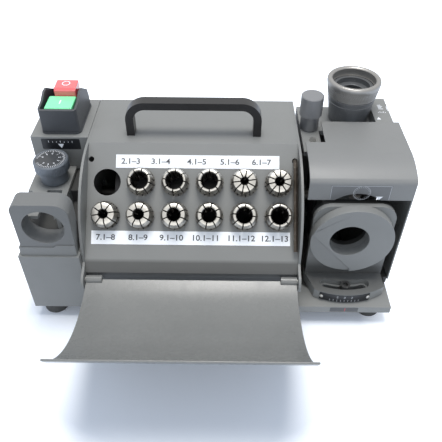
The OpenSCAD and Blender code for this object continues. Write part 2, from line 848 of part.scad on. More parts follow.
module motor_end_caps() color(steel) place() for (side = [-1, 1]) difference() {
    x0 = side > 0 ? motor_half : -motor_half - cap_t;
    rod_x(x0, x0 + cap_t, shaft_y, shaft_z, motor_d);
    rod_x(x0 - cut, x0 + cap_t + cut, shaft_y, shaft_z, bearing_d + 2 * screw_fit);
}

module motor_cradle() color(dark_grey) place() difference() {
    union() {
        block([-cradle_half, shaft_y - 30, floor_z], [cradle_half, shaft_y + 30, floor_z + cradle_t]);
        for (x = [-cradle_half, cradle_half - saddle_w])
            block([x, shaft_y - 28, floor_z + cradle_t - lap], [x + saddle_w, shaft_y + 28, shaft_z - 16]);
    }
    rod_x(-cradle_half - cut, cradle_half + cut, shaft_y, shaft_z, motor_d + 2 * lap);
}

module motor_stator() color([0.5, 0.3, 0.15]) place() difference() {
    union() {
        rod_x(-core_half, core_half, shaft_y, shaft_z, motor_d - 2 * motor_wall - 2 * lap);
        rod_x(-winding_half, winding_half, shaft_y, shaft_z, winding_d);
    }
    rod_x(-winding_half - cut, winding_half + cut, shaft_y, shaft_z, core_bore);
}

module motor_rotor() color(steel) place() difference() {
    rod_x(-core_half, core_half, shaft_y, shaft_z, core_bore - 2 * core_gap);
    rod_x(-core_half - cut, core_half + cut, shaft_y, shaft_z, shaft_d + 2 * screw_fit);
}

module main_shaft() color(steel) place() rod_x(left_l + 5, right_r - 21, shaft_y, shaft_z, shaft_d);

module shaft_bearings() color(steel) place() for (side = [-1, 1]) difference() {
    x0 = side > 0 ? motor_half : -motor_half - bearing_t;
    rod_x(x0, x0 + bearing_t, shaft_y, shaft_z, bearing_d);
    rod_x(x0 - cut, x0 + bearing_t + cut, shaft_y, shaft_z, shaft_d + 2 * running);
}

module motor_fan() color(black) place() difference() {
    union() {
        rod_x(fan_x, fan_x + fan_t, shaft_y, shaft_z, fan_d);
        rod_x(fan_x, fan_x + fan_len, shaft_y, shaft_z, fan_hub_d);
        for (i = [0:fan_blades - 1]) translate([fan_x + fan_t / 2, shaft_y, shaft_z])
            rotate([i * 360 / fan_blades, 0, 0])
                block([0, -blade_t / 2, fan_hub_d / 2 - 2], [fan_len - 1.5, blade_t / 2, fan_d / 2 - 0.5]);
    }
    rod_x(fan_x - cut, fan_x + fan_len + cut, shaft_y, shaft_z, shaft_d + 2 * screw_fit);
}

module run_capacitor() color([0.75, 0.75, 0.72]) place() {
    rod_x(-capacitor_half, capacitor_half, capacitor_y, floor_z + 20, capacitor_d);
    block([-12, capacitor_y - 9.5, floor_z], [12, capacitor_y + 12, floor_z + 8]);
}

// Wheel with a flat rim, then a cone that grinds the point
module point_wheel() color([0.35, 0.36, 0.34]) place()
    translate([point_l, shaft_y, shaft_z]) rotate([0, 90, 0])
    rotate_extrude() polygon([
        [shaft_d / 2 + screw_fit, 0], [point_wheel_d / 2, 0], [point_wheel_d / 2, point_flat],
        [point_small_r, point_flat + point_cone], [flange_d / 2 + 4, point_flat + point_cone],
        [flange_d / 2 + 2, point_web], [shaft_d / 2 + screw_fit, point_web]
    ]);

module web_wheel() color([0.35, 0.36, 0.34]) place() difference() {
    rod_x(web_x - web_wheel_t / 2, web_x + web_wheel_t / 2, shaft_y, shaft_z, web_wheel_d);
    rod_x(web_x - web_wheel_t, web_x + web_wheel_t, shaft_y, shaft_z, shaft_d + 2 * screw_fit);
}

// Flange or nut on the shaft from x0 to x1
module shaft_washer(x0, x1, d, sides) {
    difference() {
        translate([x0, shaft_y, shaft_z]) rotate([0, 90, 0]) cylinder(h = x1 - x0, d = d, $fn = sides);
        rod_x(x0 - cut, x1 + cut, shaft_y, shaft_z, shaft_d + 2 * screw_fit);
    }
}

module wheel_clamps() color(steel) place() {
    web_l = web_x - web_wheel_t / 2;
    web_r = web_x + web_wheel_t / 2;
    nut_d = nut_af / cos(30);
    shaft_washer(web_r + seat, web_r + flange_t, flange_d, $fn);
    shaft_washer(web_l - flange_t, web_l - seat, flange_d, $fn);
    shaft_washer(web_l - flange_t - nut_t, web_l - flange_t - seat, nut_d, 6);
    shaft_washer(point_l - flange_t, point_l - seat, flange_d, $fn);
    shaft_washer(point_l + point_web + seat, point_l + point_web + flange_t, flange_d, $fn);
    shaft_washer(point_l + point_web + flange_t + seat, point_l + point_web + flange_t + nut_t, nut_d, 6);
}

/* Right station */

module table_outline() {
    intersection() {
        translate([pivot_x, pivot_y]) circle(table_r);
        polygon([
            [table_l, bracket_front + bracket_t], [table_l, bracket_front],
            [table_l + 5.5, bracket_front - 16.5], [table_l + 5.5, -90],
            [table_right, -90], [table_right, bracket_front + bracket_t]
        ]);
    }
}

// Thin tongue under the grinding wheel, from the table back to its pivot
module tongue_outline() {
    back = bracket_front + bracket_t - cut;
    translate([pivot_x - tongue_w / 2, back]) square([tongue_w, pivot_y - back]);
    translate([pivot_x, pivot_y]) circle(pivot_boss_r);
}

// Curved slot of the given width about the pivot
module table_slot(width) {
    translate([pivot_x, pivot_y]) {
        arc_band(slot_r - width / 2, slot_r + width / 2, 270 - slot_half, 270 + slot_half);
        for (side = [-1, 1])
            translate(slot_r * dir(270 + side * slot_half)) circle(width / 2 - slot_step);
    }
}

module angle_table() color(body_grey) place() difference() {
    union() {
        along_z(table_z, table_top) table_outline();
        along_z(table_z, tongue_top) tongue_outline();
    }
    along_z(table_z - cut, table_top + cut) table_slot(slot_w);
    along_z(table_z + ledge_t, table_top + cut) table_slot(ledge_w);
    rod_z(table_z - cut, table_top + cut, pivot_x, pivot_y, pivot_d + 2 * running);
}

module table_fasteners() color(steel) place() {
    stud_z = floor_z + table_gap;
    rod_z(stud_z, tongue_top + table_gap, pivot_x, pivot_y, pivot_d);
    translate([pivot_x, pivot_y - slot_r, 0]) {
        lock_z = table_z + ledge_t + lap;
        head_z = lock_z + washer_t + lap;
        translate([0, 0, stud_z]) cylinder(h = head_z + lap - stud_z, d = stud_d);
        translate([0, 0, lock_z]) difference() {
            cylinder(h = washer_t, d = washer_d);
            translate([0, 0, -cut]) cylinder(h = washer_t + 2 * cut, d = stud_d + 2 * screw_pass);
        }
        translate([0, 0, head_z]) difference() {
            cylinder(h = lock_head_t, d = lock_head_d);
            translate([0, 0, lock_head_t / 2]) cylinder(h = lock_head_t, d = lock_hex / cos(30), $fn = 6);
        }
    }
}

module port_plate() color(body_grey) place() difference() {
    along_y(bracket_front, bracket_front + bracket_t)
        rounded_box2d(
            [table_l, table_top], [table_right, bracket_top], [square_corner, square_corner, 13, 13]
        );
    rod_y(bracket_front - cut, bracket_front + bracket_t + cut, port_x, point_port_z, port_bore);
}

// Round port plate, milled lower beyond a slanting edge at its lower left
module port_disc() color(body_grey) place() difference() {
    rod_y(disc_front, bracket_front, disc_x, disc_z, disc_d);
    rod_y(disc_front - cut, bracket_front + cut, port_x, point_port_z, port_bore);
    along_y(disc_front - cut, disc_front + 1.4) polygon([
        [disc_x - 30.4, point_port_z + 6.5], [disc_x + 2.2, point_port_z - 29.7],
        [disc_x + 2.2, disc_z - disc_d], [disc_x - disc_d, disc_z - disc_d],
        [disc_x - disc_d, point_port_z + 6.5]
    ]);
}

// Points of the hood's outline, inset from its outside face, from the back edge to the front's lower edge
function hood_points(inset) =
    let(
        step = bend_large - bend_small,
        small = [hood_front + bend_small, hood_top - bend_large + step * cos(bend_break)],
        large = [small[0] + step * sin(bend_break), hood_top - bend_large]
    ) concat(
        [[hood_back, hood_top - inset]],
        [for (i = [0:8]) large + (bend_large - inset) * dir(90 + i * bend_break / 8)],
        [for (i = [1:8]) small + (bend_small - inset) * dir(90 + bend_break + i * (90 - bend_break) / 8)],
        [[hood_front + inset, hood_low]]
    );

module right_hood() color(body_grey) place() difference() {
    inner = hood_points(hood_t);
    union() {
        along_x(right_l, right_r)
            polygon(concat(hood_points(0), [for (i = [len(inner) - 1:-1:0]) inner[i]]));
        along_x(right_r - hood_t, right_r)
            polygon(concat(hood_points(0), [[hood_front, base_z + 4], [hood_back, base_z + 4]]));
    }
    block([right_l - cut, notch_y, hood_top - 5], [notch_x, hood_back + cut, hood_top + cut]);
    rod_y(hood_front - cut, hood_front + hood_t + cut, port_x + 3, hood_low - 19.7, arch_d);
}

module chuck_station() color(body_grey) place() difference() {
    union() {
        block([right_l, station_y, station_top - station_t], [right_r, top_d, station_top]);
        block([right_l, notch_y, station_top - station_t], [notch_x - 0.5, station_y + 0.1, station_top]);
        block([right_l, top_d - wall, slab_z], [right_r - 1.5, top_d, station_top - 0.1]);
        block([right_l, station_y, slab_z], [right_l + wall, top_d, station_top - 0.1]);
        block([right_r - 1.5 - wall, station_y, slab_z], [right_r - 1.5, top_d, station_top - 0.1]);
        rod_z(station_top - socket_len, station_top - 0.1, chuck_x, chuck_y, socket_d);
        block(
            [chuck_x - 12, chuck_y, station_top - socket_len], [chuck_x + 12, top_d - 0.1, station_top - 0.1]
        );
    }
    rod_z(station_top - barrel_len - cut, station_top + cut, chuck_x, chuck_y, port_bore + 2 * chuck_fit);
    rod_z(station_top - station_t - cut, station_top + cut, knob_x, knob_y, knob_stem_d + 2 * running);
    rod_z(station_top - station_t - cut, station_top + cut, notch_screw[0], notch_screw[1], hole_m3);
}

module index_block() color(body_grey) place()
    block([index_l, station_y, station_top], [index_r, top_d, station_top + index_h]);

module feed_knob() color(dark_grey) place() {
    rod_z(station_top + air, station_top + knob_neck_h, knob_x, knob_y, knob_neck_d);
    rod_z(station_top + knob_neck_h - lap, station_top + knob_h, knob_x, knob_y, knob_d);
    rod_z(station_top - 14, station_top + air + lap, knob_x, knob_y, knob_stem_d);
}

// Body of the drill chuck: barrel in its port, collar on the port's rim, sleeve and threaded neck
module chuck_body() color(dark_grey) place() translate([chuck_x, chuck_y, station_top]) difference() {
    rotate_extrude() polygon([
        [0, -barrel_len], [port_bore / 2 - 1, -barrel_len], [port_bore / 2, 1 - barrel_len],
        [port_bore / 2, 0.2], [port_bore / 2 + 1.3, 0.2], [port_bore / 2 + 1.3, sleeve_foot],
        [chuck_d / 2 - sleeve_in, sleeve_h], [chuck_d / 2 - neck_in, sleeve_h],
        [chuck_d / 2 - neck_in, neck_h], [0, neck_h]
    ]);
    translate([0, 0, -barrel_len - cut]) cylinder(h = neck_h + barrel_len + 2 * cut, d = chuck_bore);
    translate([0, 0, neck_h - 3.8]) cylinder(h = 10, d = chuck_seat_d);
}

module chuck_ring() color(steel) place() translate([chuck_x, chuck_y, station_top]) rotate_extrude() {
    r = chuck_d / 2;
    polygon([
        [r - neck_in + running, sleeve_h + air], [r - ring_taper - 0.6, sleeve_h + air],
        [r - ring_taper, sleeve_h + air + 0.6], [r, ring_top - 3], [r - 0.8, ring_top], [r - 3.2, ring_top],
        [r - ring_lip, ring_top - 0.9], [r - ring_lip, neck_h + 0.4], [r - neck_in + running, neck_h + 0.4]
    ]);
}

base_plate();
right_base();
rubber_feet();
foot_screws();
mid_cover();
cheek_left();
cheek_right();
front_tray();
tray_hinge_pins();
carry_handle();
handle_screws();
size_labels();
collet_upper(1);  // collet_upper_1
collet_upper(2);  // collet_upper_2
collet_upper(3);  // collet_upper_3
collet_upper(4);  // collet_upper_4
collet_upper(5);  // collet_upper_5
collet_lower(1);  // collet_lower_1
collet_lower(2);  // collet_lower_2
collet_lower(3);  // collet_lower_3
collet_lower(4);  // collet_lower_4
collet_lower(5);  // collet_lower_5
collet_lower(6);  // collet_lower_6
hex_key();
left_lower_box();
web_port_plate();
web_port_block();
web_saddle();
web_dial();
dial_spindle();
web_stop_pin();
left_upper_box();
switch_frame();
start_button();
stop_button();
motor_housing();
motor_end_caps();
motor_cradle();
motor_stator();
motor_rotor();
main_shaft();
shaft_bearings();
motor_fan();
run_capacitor();
point_wheel();
web_wheel();
wheel_clamps();
angle_table();
port_plate();
port_disc();
table_fasteners();
right_hood();
chuck_station();
index_block();
feed_knob();
chuck_body();
chuck_ring();
rear_panel();
power_inlet();
panel_screws();
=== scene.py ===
"""Bench drill bit sharpener: finishes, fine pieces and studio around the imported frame.

Sizes inside the classes are millimetres in the machine's own frame: x is zero at the middle of
the body, y at the front edge of its flat top and z on the table.  Machine turns them into the
metres of the row frame.
"""

from __future__ import annotations

import json
import logging
import math
from collections.abc import Callable, Sequence
from dataclasses import dataclass, field
from enum import Enum

import bmesh
import bpy
from mathutils import Matrix, Vector

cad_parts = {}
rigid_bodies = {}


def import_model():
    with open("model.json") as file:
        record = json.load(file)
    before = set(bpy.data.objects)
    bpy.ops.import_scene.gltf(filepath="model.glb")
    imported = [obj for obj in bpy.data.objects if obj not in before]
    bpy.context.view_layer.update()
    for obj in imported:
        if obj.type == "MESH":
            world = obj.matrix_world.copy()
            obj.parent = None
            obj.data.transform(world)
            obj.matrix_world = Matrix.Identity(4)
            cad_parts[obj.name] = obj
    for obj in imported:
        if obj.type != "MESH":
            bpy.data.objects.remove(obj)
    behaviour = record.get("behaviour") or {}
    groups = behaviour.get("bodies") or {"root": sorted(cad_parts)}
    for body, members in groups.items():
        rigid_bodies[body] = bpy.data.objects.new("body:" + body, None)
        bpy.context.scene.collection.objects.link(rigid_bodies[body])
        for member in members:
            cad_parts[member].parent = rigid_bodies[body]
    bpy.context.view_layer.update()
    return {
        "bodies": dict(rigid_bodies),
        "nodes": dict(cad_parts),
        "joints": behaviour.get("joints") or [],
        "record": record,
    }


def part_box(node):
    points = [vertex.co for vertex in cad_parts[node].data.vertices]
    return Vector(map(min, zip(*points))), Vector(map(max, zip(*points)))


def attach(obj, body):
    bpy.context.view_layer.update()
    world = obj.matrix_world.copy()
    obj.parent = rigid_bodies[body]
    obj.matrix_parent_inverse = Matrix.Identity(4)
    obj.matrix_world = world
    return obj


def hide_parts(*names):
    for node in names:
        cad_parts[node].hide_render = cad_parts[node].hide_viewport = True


MM = 0.001
TURN = 2 * math.pi
PREFIX = "finish_"
WELD = 2e-6
JOIN = 1e-7
SLIVER = 1e-8
FLAT_ANGLE = 0.5
SMOOTH_ANGLE = 35.0
WORN_ANGLE = 50.0
log = logging.getLogger("sharpener")

Point = tuple[float, float]
Colour = tuple[float, float, float]
Shaping = Callable[[float, float, float], float]


# --------------------------------------------------------------------------- shader maths


class Link:
    """A shader socket that adds Math nodes when it is used in an expression."""

    def __init__(self, graph: Graph, socket: bpy.types.NodeSocket) -> None:
        """Wraps a socket of a graph."""
        self.graph = graph
        self.socket = socket

    def math(self, operation: str, *values: Link | float) -> Link:
        """Adds one Math node.

        Args:
            operation: the Math node's operation.
            values: what goes into its sockets, in order.

        Returns:
            The node's result.
        """
        return self.graph.node("ShaderNodeMath", {"operation": operation}, dict(enumerate(values)))

    def __add__(self, other: Link | float) -> Link:
        """self + other."""
        return self.math("ADD", self, other)

    def __radd__(self, other: float) -> Link:
        """other + self."""
        return self.math("ADD", other, self)

    def __sub__(self, other: Link | float) -> Link:
        """self - other."""
        return self.math("SUBTRACT", self, other)

    def __rsub__(self, other: float) -> Link:
        """other - self."""
        return self.math("SUBTRACT", other, self)

    def __mul__(self, other: Link | float) -> Link:
        """self * other."""
        return self.math("MULTIPLY", self, other)

    def __rmul__(self, other: float) -> Link:
        """other * self."""
        return self.math("MULTIPLY", other, self)

    def __truediv__(self, other: Link | float) -> Link:
        """self / other."""
        return self.math("DIVIDE", self, other)

    def __pow__(self, other: float) -> Link:
        """self to a power."""
        return self.math("POWER", self, other)

    def length(self, other: Link) -> Link:
        """The length of the vector that has these two parts."""
        return (self * self + other * other) ** 0.5

    def above(self, start: float, width: float) -> Link:
        """A mask that climbs from 0 at start to 1 a width later."""
        ramp = (self - start) / width
        return self.math("MINIMUM", self.math("MAXIMUM", ramp, 0.0), 1.0)


class Graph:
    """The node tree of a material or a world, with one method that adds any node."""

    def __init__(self, owner: bpy.types.Material | bpy.types.World) -> None:
        """Starts with an empty node tree.

        Args:
            owner: the material or world that the tree belongs to.
        """
        self.owner = owner
        owner.use_nodes = True
        self.tree = owner.node_tree
        self.tree.nodes.clear()

    def node(
        self,
        kind: str,
        settings: dict[str, object] | None = None,
        inputs: dict[str | int, object] | None = None,
        output: str | int = 0,
    ) -> Link:
        """Adds a node.

        Args:
            kind: the node's type.
            settings: properties, which are set first.
            inputs: socket names or numbers, each with a value or a Link.
            output: the socket to hand back.

        Returns:
            The chosen output socket, or the first input of a node that has no output.
        """
        made = self.tree.nodes.new(kind)
        for name, value in (settings or {}).items():
            setattr(made, name, value)
        for name, value in (inputs or {}).items():
            if isinstance(value, Link):
                self.tree.links.new(value.socket, made.inputs[name])
            else:
                made.inputs[name].default_value = value
        return Link(self, made.outputs[output] if len(made.outputs) else made.inputs[0])

    def place(self) -> Link:
        """The surface point in the piece's own metres."""
        return self.node("ShaderNodeTexCoord", output="Object")

    def noise(self, where: Link, feature: float, detail: float = 2.0, roughness: float = 0.5) -> Link:
        """Noise from 0 to 1.

        Args:
            where: the point it is read at.
            feature: the size of its lumps in millimetres.
            detail: its octaves.
            roughness: how strong the fine octaves are.

        Returns:
            The noise value.
        """
        values = {"Vector": where, "Scale": 1 / (feature * MM), "Detail": detail, "Roughness": roughness}
        return self.node("ShaderNodeTexNoise", inputs=values)

    def axis(self, where: Link, name: str) -> Link:
        """One of X, Y and Z of a point."""
        return self.node("ShaderNodeSeparateXYZ", inputs={0: where}, output=name)

    def mix(self, share: Link | float, first: Link | Colour, second: Link | Colour) -> Link:
        """A colour between two colours."""
        ends = [end if isinstance(end, Link) else opaque(end) for end in (first, second)]
        return self.node("ShaderNodeMix", {"data_type": "RGBA"}, {0: share, 6: ends[0], 7: ends[1]}, output=2)

    def bump(self, height: Link, depth: float) -> Link:
        """A normal from a height of 0 to 1 that is depth millimetres tall."""
        values = {"Strength": 1.0, "Distance": depth * MM, "Height": height}
        return self.node("ShaderNodeBump", inputs=values)

    def finish(self, **sockets: object) -> bpy.types.Material:
        """Ends the material in one Principled shader.

        Args:
            sockets: the shader's sockets, with underscores for spaces.

        Returns:
            The material.
        """
        values = {name.replace("_", " "): value for name, value in sockets.items()}
        shader = self.node("ShaderNodeBsdfPrincipled", inputs=values)
        self.node("ShaderNodeOutputMaterial", inputs={"Surface": shader})
        return self.owner


def opaque(colour: Colour) -> tuple[float, float, float, float]:
    """A colour with full alpha."""
    return (*colour, 1.0)


def shade(colour: Colour, by: float) -> Colour:
    """A colour made lighter or darker by a factor."""
    return (colour[0] * by, colour[1] * by, colour[2] * by)


# --------------------------------------------------------------------------- finishes


@dataclass(frozen=True)
class Finish:
    """A surface finish; slot names the record's material slot, and lengths are millimetres."""

    name: str
    slot: str
    colour: Colour
    roughness: float = 0.5

    def make(self, graph: Graph) -> bpy.types.Material:
        """Builds the material in an empty graph."""
        raise NotImplementedError(self.name)

    def material(self) -> bpy.types.Material:
        """The material, built once."""
        name = PREFIX + self.name
        return bpy.data.materials.get(name) or self.make(Graph(bpy.data.materials.new(name)))


@dataclass(frozen=True)
class PaintedShade:
    """Painted shade: where a surface's colour is darkened to stand in for shade, past a level, over a width,
    in millimetres.

    The level lies along one axis, or for the axis R out from a centre. A negative width darkens what
    lies below the level, and keep is the share of the colour that is left.
    """

    axis: str
    level: float
    width: float
    keep: float
    centre: Point = (0.0, 0.0)

    def tint(self, graph: Graph, where: Link, tone: Link, unshaded: Colour) -> Link:
        """Paints shade over a tone past the level.

        Args:
            graph: the material's graph.
            where: the surface point.
            tone: the tone so far.
            unshaded: the finish's own colour, before the painted shade.

        Returns:
            The tone with the painted shade.
        """
        if self.axis == "R":
            east = graph.axis(where, "X") / MM - self.centre[0]
            north = graph.axis(where, "Y") / MM - self.centre[1]
            along = east.length(north)
        else:
            along = graph.axis(where, self.axis) / MM
        if self.width < 0:
            mask = (-1 * along).above(-self.level, -self.width)
        else:
            mask = along.above(self.level, self.width)
        return graph.mix(mask, tone, shade(unshaded, self.keep))


@dataclass(frozen=True)
class PowderCoat(Finish):
    """Satin powder coat: orange peel, a fine grain and slow drifts of tone, with painted shade darkening it
    in the bands listed.
    """

    peel: float = 0.55
    grain: float = 0.16
    depth: float = 0.035
    drift: float = 0.07
    cloud: float = 38.0
    rub: float = 9.0
    glint: float = 1.35
    painted_shade: tuple[PaintedShade, ...] = ()

    def make(self, graph: Graph) -> bpy.types.Material:
        """Builds the paint.

        Args:
            graph: the material's empty graph.

        Returns:
            The material.
        """
        where = graph.place()
        grain = graph.noise(where, self.grain, 2.0, 0.6)
        peel = graph.noise(where, self.peel, 1.0)
        cloud = graph.noise(where, self.cloud, 3.0)
        rub = graph.noise(where, self.rub, 4.0, 0.65)
        tone = graph.mix(cloud, shade(self.colour, 1 - self.drift), shade(self.colour, 1 + self.drift))
        speck = graph.mix(grain.above(0.55, 0.12) * 0.22, tone, shade(self.colour, self.glint))
        # Painted shade: each band darkens the colour where shade falls on the part.
        for shade_patch in self.painted_shade:
            speck = shade_patch.tint(graph, where, speck, self.colour)
        dull = rub.above(0.5, 0.2) * 0.08 + grain * 0.10 + (self.roughness - 0.09)
        height = peel * 0.65 + grain * 0.35
        return graph.finish(
            Base_Color=speck, Roughness=dull, Specular_IOR_Level=0.45, Normal=graph.bump(height, self.depth)
        )


@dataclass(frozen=True)
class Moulded(Finish):
    """Moulded plastic: spark-eroded grain under a soft gloss, with a thin coat where it shines."""

    grain: float = 0.3
    depth: float = 0.02
    coat: float = 0.0
    cloud: float = 14.0

    def make(self, graph: Graph) -> bpy.types.Material:
        """Builds the plastic.

        Args:
            graph: the material's empty graph.

        Returns:
            The material.
        """
        where = graph.place()
        grain = graph.noise(where, self.grain, 2.0)
        cloud = graph.noise(where, self.cloud, 3.0)
        tone = graph.mix(cloud, shade(self.colour, 0.92), shade(self.colour, 1.08))
        dull = cloud * 0.08 + grain * 0.06 + (self.roughness - 0.07)
        return graph.finish(
            Base_Color=tone, Roughness=dull, Coat_Weight=self.coat, Coat_Roughness=0.08,
            Normal=graph.bump(grain, self.depth),
        )


@dataclass(frozen=True)
class Turned(Finish):
    """Turned or ground steel: fine rings round the piece's own Z axis, a film of oil, and painted shade in
    the bands listed.
    """

    ring: float = 0.12
    depth: float = 0.006
    stain: Colour = (0.30, 0.27, 0.22)
    stained: float = 0.25
    smear: float = 3.2
    painted_shade: tuple[PaintedShade, ...] = ()

    def make(self, graph: Graph) -> bpy.types.Material:
        """Builds the steel.

        Args:
            graph: the material's empty graph.

        Returns:
            The material.
        """
        where = graph.place()
        radius = graph.axis(where, "X").length(graph.axis(where, "Y"))
        along = graph.axis(where, "Z")
        lathe_place = graph.node("ShaderNodeCombineXYZ", inputs={0: radius, 1: along, 2: 0.0})
        rings = graph.noise(lathe_place, self.ring, 2.0)
        smear = graph.noise(where, self.smear, 4.0, 0.6)
        tone = graph.mix(smear.above(0.52, 0.25) * self.stained, self.colour, self.stain)
        # Painted shade: each band darkens the colour where shade falls on the part.
        for shade_patch in self.painted_shade:
            tone = shade_patch.tint(graph, where, tone, self.colour)
        dull = rings * 0.10 + smear * 0.14 + (self.roughness - 0.12)
        return graph.finish(
            Base_Color=tone, Metallic=1.0, Roughness=dull, Normal=graph.bump(rings, self.depth)
        )


@dataclass(frozen=True)
class Blackened(Finish):
    """Black-oxide or anodised metal: a dark skin that is rubbed bright in places."""

    bare: Colour = (0.32, 0.31, 0.30)
    rubbed: float = 0.35
    metal: float = 0.75
    rub: float = 2.4
    grain: float = 0.14
    depth: float = 0.008

    def make(self, graph: Graph) -> bpy.types.Material:
        """Builds the skin.

        Args:
            graph: the material's empty graph.

        Returns:
            The material.
        """
        where = graph.place()
        rub = graph.noise(where, self.rub, 4.0, 0.65)
        fine = graph.noise(where, self.grain, 2.0)
        mask = rub.above(0.55, 0.18) * self.rubbed
        tone = graph.mix(mask, self.colour, self.bare)
        dull = fine * 0.10 - mask * 0.12 + self.roughness
        return graph.finish(
            Base_Color=tone, Metallic=self.metal, Roughness=dull, Normal=graph.bump(fine, self.depth)
        )


@dataclass(frozen=True)
class Film(Finish):
    """Printed film or ink: even colour, a faint grain and dust."""

    grain: float = 0.2
    dust: float = 5.0
    depth: float = 0.004

    def make(self, graph: Graph) -> bpy.types.Material:
        """Builds the film.

        Args:
            graph: the material's empty graph.

        Returns:
            The material.
        """
        where = graph.place()
        fine = graph.noise(where, self.grain, 2.0)
        dust = graph.noise(where, self.dust, 3.0)
        tone = graph.mix(dust * 0.6, self.colour, shade(self.colour, 0.93))
        return graph.finish(
            Base_Color=tone, Roughness=fine * 0.12 + (self.roughness - 0.06),
            Normal=graph.bump(fine, self.depth),
        )


@dataclass(frozen=True)
class Grit(Finish):
    """A wheel's bonded or plated abrasive: coarse bright grains in a dark bond."""

    grain: float = 0.25
    depth: float = 0.06
    glint: float = 2.6

    def make(self, graph: Graph) -> bpy.types.Material:
        """Builds the abrasive.

        Args:
            graph: the material's empty graph.

        Returns:
            The material.
        """
        where = graph.place()
        cell = graph.node(
            "ShaderNodeTexVoronoi", {"feature": "F1"}, {"Vector": where, "Scale": 1 / (self.grain * MM)}
        )
        fleck = 1 - cell.above(0.15, 0.3)
        tone = graph.mix(fleck, self.colour, shade(self.colour, self.glint))
        return graph.finish(
            Base_Color=tone, Metallic=fleck * 0.3, Roughness=0.75 - fleck * 0.25,
            Normal=graph.bump(fleck, self.depth),
        )


@dataclass(frozen=True)
class CastAlloy(Finish):
    """Die-cast or spun alloy: grainy skin with a dull sheen."""

    grain: float = 0.5
    metal: float = 0.85
    cloud: float = 12.0
    depth: float = 0.03

    def make(self, graph: Graph) -> bpy.types.Material:
        """Builds the alloy.

        Args:
            graph: the material's empty graph.

        Returns:
            The material.
        """
        where = graph.place()
        skin = graph.noise(where, self.grain, 4.0, 0.6)
        cloud = graph.noise(where, self.cloud, 3.0)
        tone = graph.mix(cloud, shade(self.colour, 0.88), shade(self.colour, 1.1))
        return graph.finish(
            Base_Color=tone, Metallic=self.metal, Roughness=skin * 0.2 + (self.roughness - 0.1),
            Normal=graph.bump(skin, self.depth),
        )


@dataclass(frozen=True)
class Winding(Finish):
    """Varnished copper wire wound along one axis, between stacked core plates."""

    wire: float = 0.9
    stain: float = 4.0
    depth: float = 0.15

    def make(self, graph: Graph) -> bpy.types.Material:
        """Builds the winding.

        Args:
            graph: the material's empty graph.

        Returns:
            The material.
        """
        where = graph.place()
        turns = graph.axis(where, "X") * (TURN / (self.wire * MM))
        ridge = turns.math("SINE", turns) * 0.5 + 0.5
        stain = graph.noise(where, self.stain, 3.0)
        tone = graph.mix(stain, self.colour, shade(self.colour, 0.55))
        return graph.finish(
            Base_Color=tone, Metallic=0.55, Roughness=0.38 + stain * 0.15,
            Normal=graph.bump(ridge, self.depth),
        )


GREY: Colour = (0.200, 0.203, 0.196)
PALE_GREY: Colour = (0.215, 0.218, 0.210)


